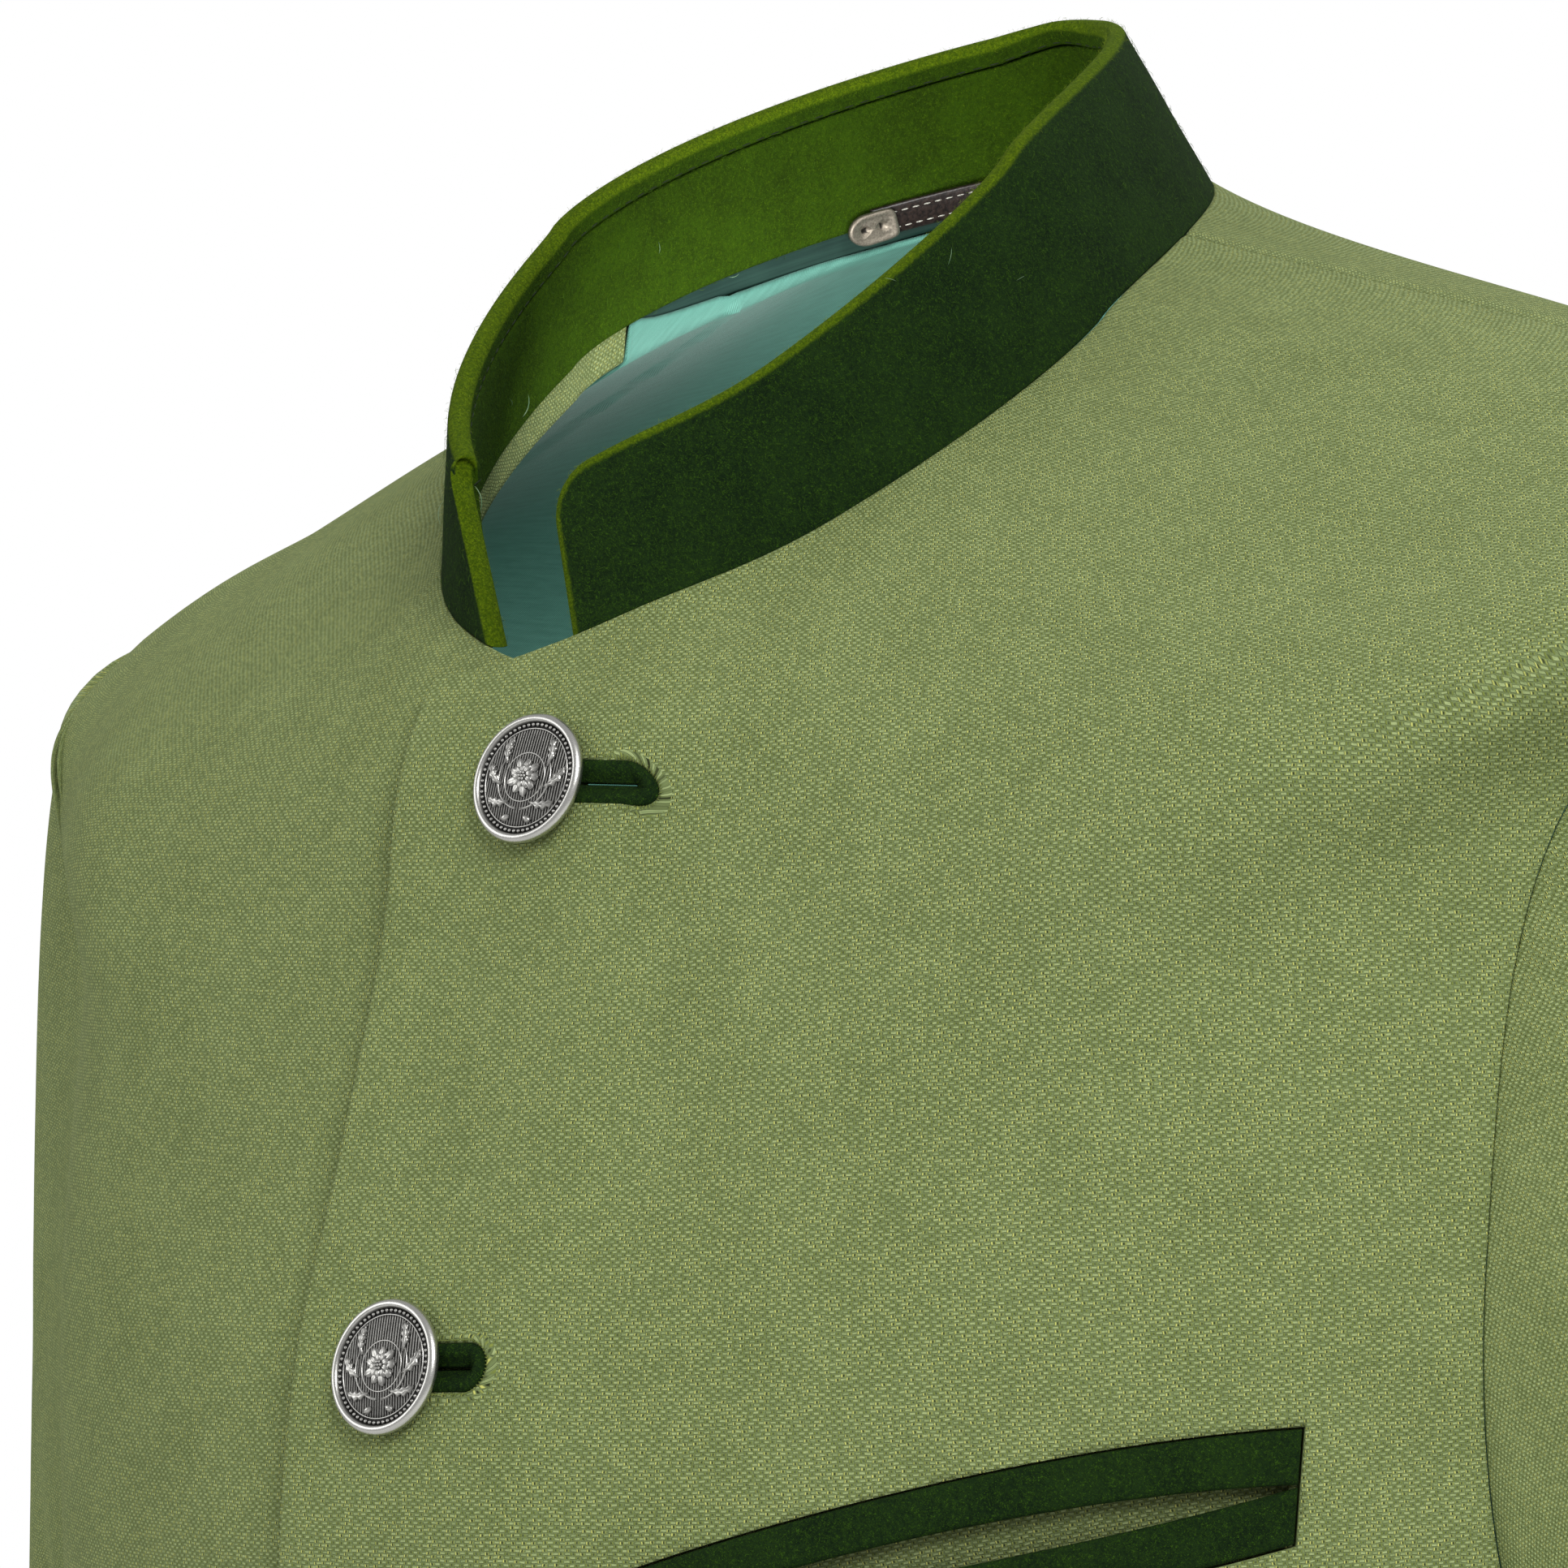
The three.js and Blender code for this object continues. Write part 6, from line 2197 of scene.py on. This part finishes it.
STRAP_FINISH = strap_finish("dark_webbing")
strap_angle, strap_up = np.meshgrid(
    crowded(180 - HANGER["reach"], 180 + HANGER["reach"], 0.7, scale=0.9),
    crowded(-HANGER["half"], HANGER["half"], 0.6, scale=0.6),
)
base = hanger_point(strap_angle, strap_up, HANGER["off"] + HANGER["thick"] / 2)
normals = -collar_frame(strap_angle)[2]
edge = edge_distance(base)
drop = edge_drop(edge, HANGER["thick"] / 2)
swell = 0.18 * smooth(edge, 0.5, 1.4) - 0.14 * np.exp(-(((np.abs(strap_up) - 1.7) / 0.35) ** 2))
outer = base + normals * (HANGER["thick"] / 2 - drop)[..., None]
inner = base - normals * (HANGER["thick"] / 2 - drop + swell * 0.6)[..., None]
uv = flat_pattern(base, normals, strap_up.shape[0] // 2)
strap = shell_mesh("hanger_strap_webbing", outer, inner, [STRAP_FINISH], uv)
finish_cloth(strap, "hanger_strap", cut_size(uv), turned=ALLOWANCE)

STRAP_STITCHES = stitch_recipe("strap_stitches", WHITE_THREAD, 2.3 * MM, 1.5 * MM, 0.34 * MM)
for row in (-1, 1):
    angles = np.linspace(180 - PLATE["from"], 180 + PLATE["from"], 160)
    line = hanger_point(angles, np.full(160, row * 1.7), HANGER["off"] + HANGER["thick"] + 0.12)
    side = "lower" if row < 0 else "upper"
    ride_with(STRAP_STITCHES.apply(line_object(f"hanger_stitches_{side}", line)), "hanger_webbing")

print("hanger strap spans", round(2 * HANGER["reach"]), "degrees of the collar")

# %% [markdown]
# The plates are pressed from pewter. The finish reads the same wear values as the buttons do,
# and is darker in their wells.

# %% Hanger plates
PLATE_STEPS = [
    # inset, height
    (0.0, 0.0), (0.0, 0.75), (0.18, 1.0), (0.5, 1.08), (0.85, 0.98), (1.15, 0.85), (1.6, 0.84),
]
WELL = {"long": 0.85, "high": 1.0, "places": (-1.45, 1.45), "depth": 0.75}


def pewter_finish(name):
    pewter = Finish(name)
    worn = pewter.noise(pewter.place(), 2600.0, detail=4.0, rough=0.7)
    hollow = pewter.attribute("worn")
    tone = pewter.mix(worn.fade(0.3, 0.7), linear(112, 104, 92), linear(150, 142, 128))
    tone = pewter.mix(hollow.fade(0.4, 0.0), tone, linear(30, 27, 24))
    pewter.set(
        Base_Color=tone,
        Metallic=0.75,
        Roughness=0.52,
        Normal=pewter.bump(worn, 0.06),
    )
    return pewter.material


PEWTER = pewter_finish("pewter_plate")


def plate_outline(inset, length, half):
    """A flat end at the strap and a round one beyond it, as (along, up) pairs."""
    sides = 72
    turn = (np.arange(sides) + 0.5) / sides * 2 * np.pi
    c, s = np.cos(turn), np.sin(turn)
    radius = half - inset
    round_end = np.stack([length - half + radius * c, radius * s], -1)
    power = 0.35
    along = length - half - (length - half - inset) * np.abs(c) ** power
    flat_end = np.stack([along, radius * np.sign(s) * np.abs(s) ** power], -1)
    return np.where((c > 0)[:, None], round_end, flat_end)


print("pewter nodes:", len(PEWTER.node_tree.nodes))


# %% Lofted plates
def plate_parts(side):
    """Points, faces and wear of a plate whose flat end lies over the strap's end."""
    length = math.radians(PLATE["to"] - PLATE["from"]) * PLATE["radius"]
    half = PLATE["half"] - 0.6

    def place(flat, height):
        angle = 180 + side * (PLATE["from"] + np.degrees(flat[..., 0] / PLATE["radius"]))
        seam, up_way, in_way, _, _ = collar_frame(angle)
        depth = HANGER["off"] + HANGER["thick"] + 0.75 + height
        return seam + up_way * (HANGER["up"] + flat[..., 1:]) + in_way * depth[..., None]

    rings = [(plate_outline(inset, length, half), height) for inset, height in PLATE_STEPS]
    sides = len(rings[0][0])
    middle = rings[-1][0].mean(0)
    last = rings[-1][0]
    for share in (0.75, 0.5, 0.25):
        rings.append((middle + (last - middle) * share, 0.84))
    loops, wear = [], []
    for flat, height in rings:
        heights = np.full(sides, float(height))
        if height > 0.5:
            for x in WELL["places"]:
                reach = np.hypot((flat[:, 0] - middle[0] - x) / WELL["long"], flat[:, 1] / WELL["high"])
                heights -= WELL["depth"] * smooth(-reach, -1.15, -0.55)
        loops.append(place(flat, heights))
        wear += list(np.clip((heights - 0.1) / 0.6, 0, 1) if height > 0.5 else np.ones(sides))
    index = np.arange(len(loops) * sides).reshape(len(loops), sides)
    index = np.concatenate([index, index[:, :1]], 1)
    faces = [list(f) for f in grid_faces(index)]
    ends = [place(middle[None], np.full(1, height)) for height in (0.84, 0.0)]
    points = np.concatenate([*loops, *ends])
    wear += [1.0, 1.0]
    top, under = len(points) - 2, len(points) - 1
    for k in range(sides):
        after = (k + 1) % sides
        faces.append([int(index[-1, k]), int(index[-1, after]), top])
        faces.append([int(index[0, after]), int(index[0, k]), under])
    if side > 0:
        faces = [f[::-1] for f in faces]
    return points, faces, wear


for side, name in ((1, "right"), (-1, "left")):
    plate = mixed_object(f"hanger_plate_{name}_pewter", [plate_parts(side)], PEWTER)
    ride_with(plate, "pewter", f"hanger_plate_{name}")
    print(plate.name, len(plate.data.polygons), "faces")

# %% [markdown]
# ## Stitches and fibres
# The folded edge of the felt is caught down inside the collar with a row of small stitches. Loose
# fibres are what makes felt look soft: short bent slivers, strewn at random over its surface and
# standing out from the rim. They are one sliver mesh, placed by a recipe with a fixed seed.

# %% Stitches inside the collar
along = np.linspace(12, COLLAR_LENGTH - 12, 500)
up = collar_height(along) - COLLAR["fold"] + 0.75
line = collar_at(along, up, np.full_like(along, COLLAR_THICK + 0.02))
COLLAR_STITCHES = stitch_recipe("collar_stitches", DARK_THREAD, 3.4 * MM, 2.1 * MM, 0.3 * MM)
ride_with(COLLAR_STITCHES.apply(line_object("collar_stitch_row", line)), "felt")
print("collar stitches follow", round(COLLAR_LENGTH - 24), "mm of the fold")

# %% [markdown]
# A fibre is a thin bent spindle with a handful of faces, because there are thousands of them.

# %% One fibre
FIBRE = {"thick": 0.02, "bend": 0.16, "rings": 5}


def sliver(name):
    """A thin bent spindle, one unit long, lying along x and curving upward."""
    thick, bend, rings = FIBRE["thick"], FIBRE["bend"], FIBRE["rings"]
    points, faces = [(0, 0, 0)], []
    for k in range(1, rings + 1):
        t = k / (rings + 1)
        width = thick * math.sin(math.pi * t) ** 0.5
        lift = bend * 4 * t * (1 - t)
        for turn in (90, 210, 330):
            a = math.radians(turn)
            points.append((t, width * math.cos(a), lift + width * math.sin(a)))
    points.append((1, 0, 0))
    for a, b in ((1, 2), (2, 3), (3, 1)):
        faces.append((0, b, a))
        for k in range(rings - 1):
            faces.append((a + 3 * k, b + 3 * k, b + 3 * k + 3, a + 3 * k + 3))
        faces.append((len(points) - 1, a + 3 * rings - 3, b + 3 * rings - 3))
    mesh = bpy.data.meshes.new(name)
    mesh.from_pydata(points, [], faces)
    made = bpy.data.objects.new(name, mesh)
    bpy.context.scene.collection.objects.link(made)
    return made


def fibre_finish(name, colour, tip):
    fibre = Finish(name)
    shade = fibre.noise(fibre.place(), 260.0, detail=2.0)
    tone = fibre.mix(shade.fade(0.35, 0.65), colour, tip)
    fibre.set(Base_Color=tone, Roughness=0.8, Specular_IOR_Level=0.2)
    return fibre.material


SLIVER = sliver("sliver")
FIBRE_DARK = fibre_finish("green_fibre", linear(46, 76, 18), linear(74, 108, 26))
# The rim fibres take the rim's bright colour, partly the felt's paler tone and partly a painted highlight.
FIBRE_RIM = fibre_finish("rim_fibre", linear(98, 122, 16), linear(128, 150, 36))
FIBRE_PALE = fibre_finish("pale_fibre", linear(96, 132, 96), linear(150, 176, 140))
print("a fibre has", len(SLIVER.data.polygons), "faces")

# %% [markdown]
# The recipe strews them. It picks the faces whose distance from the edge lies between two values,
# puts points on them, stands a fibre on each point by the surface's normal, and lets chance turn,
# lean and stretch it. Short ones lie in the nap, more upright ones fringe the rim, and a few long
# pale ones stray over the whole collar.


# %% Strewn fibres
def fibre_recipe(name, material, shape, count, length, edge_from, edge_to, seed, stand):
    """Slivers strewn over the faces whose distance from the edge lies between two values."""
    sizes = {"density": count, "length": length, "edge_from": edge_from, "edge_to": edge_to}
    recipe = Recipe(name, {**sizes, "seed": seed, "stand": math.radians(stand)}, material)
    edge = recipe.node("GeometryNodeInputNamedAttribute", {"data_type": "FLOAT"}, {"Name": "edge"})
    inside, below = (
        recipe.node(
            "FunctionNodeCompare",
            {"data_type": "FLOAT", "operation": operation},
            {0: edge, 1: recipe.input(limit)},
        )
        for operation, limit in (("GREATER_EQUAL", "edge_from"), ("LESS_EQUAL", "edge_to"))
    )
    both = recipe.node("FunctionNodeBooleanMath", {"operation": "AND"}, {0: inside, 1: below})
    points = recipe.node(
        "GeometryNodeDistributePointsOnFaces",
        values={
            0: recipe.input("Geometry"),
            "Selection": both,
            "Density": recipe.input("density"),
            "Seed": recipe.input("seed"),
        },
    )
    normal = Channel(recipe, points.socket.node.outputs["Normal"])
    upright = recipe.node("FunctionNodeAlignRotationToVector", {"axis": "Z"}, {"Vector": normal})

    def chance(lowest, highest, seed):
        settings, values = {"data_type": "FLOAT"}, {2: lowest, 3: highest, "Seed": seed}
        return recipe.node("FunctionNodeRandomValue", settings, values, output=1)

    spin = chance(0.0, 2 * math.pi, 0)
    lean = chance(0.0, recipe.input("stand"), 3)
    turn = recipe.joined(0.0, lean * -1.0, spin)
    settings = {"rotation_space": "LOCAL"}
    placed_turn = recipe.node("FunctionNodeRotateRotation", settings, {0: upright, 1: turn})
    size = chance(0.45, 1.3, 5)
    shape_geometry = recipe.node("GeometryNodeObjectInfo", values={"Object": shape}, output="Geometry")
    placed = recipe.node(
        "GeometryNodeInstanceOnPoints",
        values={
            0: points,
            "Instance": shape_geometry,
            "Rotation": placed_turn,
            "Scale": size * recipe.input("length"),
        },
    )
    recipe.finish(placed)
    return recipe


STREWN = {
    # finish, fibres per square metre, length, edge distances, seed, how upright
    "nap": (FIBRE_DARK, 160000.0, 1.5 * MM, 2.0, 60.0, 4, 14.0),
    "rim": (FIBRE_RIM, 900000.0, 0.9 * MM, 0.0, 1.9, 9, 50.0),
    "stray": (FIBRE_PALE, 1400.0, 4.5 * MM, 2.0, 60.0, 12, 8.0),
}
for key, (material, *sizes) in STREWN.items():
    recipe = fibre_recipe(f"{key}_fibres", material, SLIVER, *sizes)
    for piece in (outer_collar, inner_collar):
        if key == "rim" and piece == inner_collar:
            continue
        copy = bpy.data.objects.new(f"{piece.name}_{key}_fibres", piece.data.copy())
        bpy.context.scene.collection.objects.link(copy)
        ride_with(recipe.apply(copy), "felt")
bpy.data.objects.remove(SLIVER)

# %% [markdown]
# ## Floor and light
# The jacket hangs in a white studio. The world itself is white, so that what is behind the jacket
# is white too and the shadows stay soft, and three large lamps give the cloth its form: a key from
# above on the wearer's left, a weaker fill from the wearer's right, and one from behind that opens
# the collar. A small fourth one in the neck brings the lining out of the dark. The camera doesn't
# see it.

# %% Stage
FLOOR = -0.80


def add_floor():
    side = 3.0
    points = [(-side, -side, FLOOR), (side, -side, FLOOR), (side, side, FLOOR), (-side, side, FLOOR)]
    mesh = bpy.data.meshes.new("floor")
    mesh.from_pydata(points, [], [(0, 1, 2, 3)])
    paper = Finish("pale_floor")
    paper.set(Base_Color=(0.86, 0.86, 0.85, 1), Roughness=0.9)
    mesh.materials.append(paper.material)
    floor = bpy.data.objects.new("floor", mesh)
    bpy.context.scene.collection.objects.link(floor)


def add_lamp(name, place, size, watts, aim=(0, 0, -0.2), seen=True):
    data = bpy.data.lights.new(name, "AREA")
    data.shape = "DISK"
    data.size = size
    data.energy = watts
    lamp = bpy.data.objects.new(name, data)
    lamp.location = place
    lamp.visible_camera = seen
    lamp.rotation_euler = (Vector(aim) - Vector(place)).to_track_quat("-Z", "Y").to_euler()
    bpy.context.scene.collection.objects.link(lamp)


def white_world(light):
    """White where the camera looks past the jacket, and a softer light everywhere else."""
    world = bpy.data.worlds.new("white")
    world.use_nodes = True
    sky = Tree(world.node_tree)
    seen = sky.node("ShaderNodeLightPath", output="Is Camera Ray")
    sky.feed(sky.tree.nodes["Background"].inputs["Color"], (1, 1, 1, 1))
    sky.feed(sky.tree.nodes["Background"].inputs["Strength"], seen * (1 - light) + light)
    bpy.context.scene.world = world


add_floor()
white_world(0.42)
add_lamp("key", (1.6, -0.95, 1.05), 1.0, 30)
add_lamp("fill", (-1.5, -1.3, 0.5), 1.4, 9)
add_lamp("collar", (0.1, 0.9, 1.1), 0.7, 5, aim=(0, 0, 0))
add_lamp("neck", (0.008, -0.016, -0.03), 0.05, 0.17, aim=(-0.03, 0.06, -0.055), seen=False)
bpy.context.scene.view_settings.view_transform = "Standard"
lamps = [made for made in bpy.context.scene.objects if made.type == "LIGHT"]
print("lamps:", {lamp.name: round(lamp.data.energy, 2) for lamp in lamps}, "watts")

# %% [markdown]
# ## Finish
# The solids that the cloth pieces stand for are hidden by now. The cut sizes of the cloth pieces
# are printed.

# %% Finish
print("cuts, mm x mm, cm2:", CUTS)
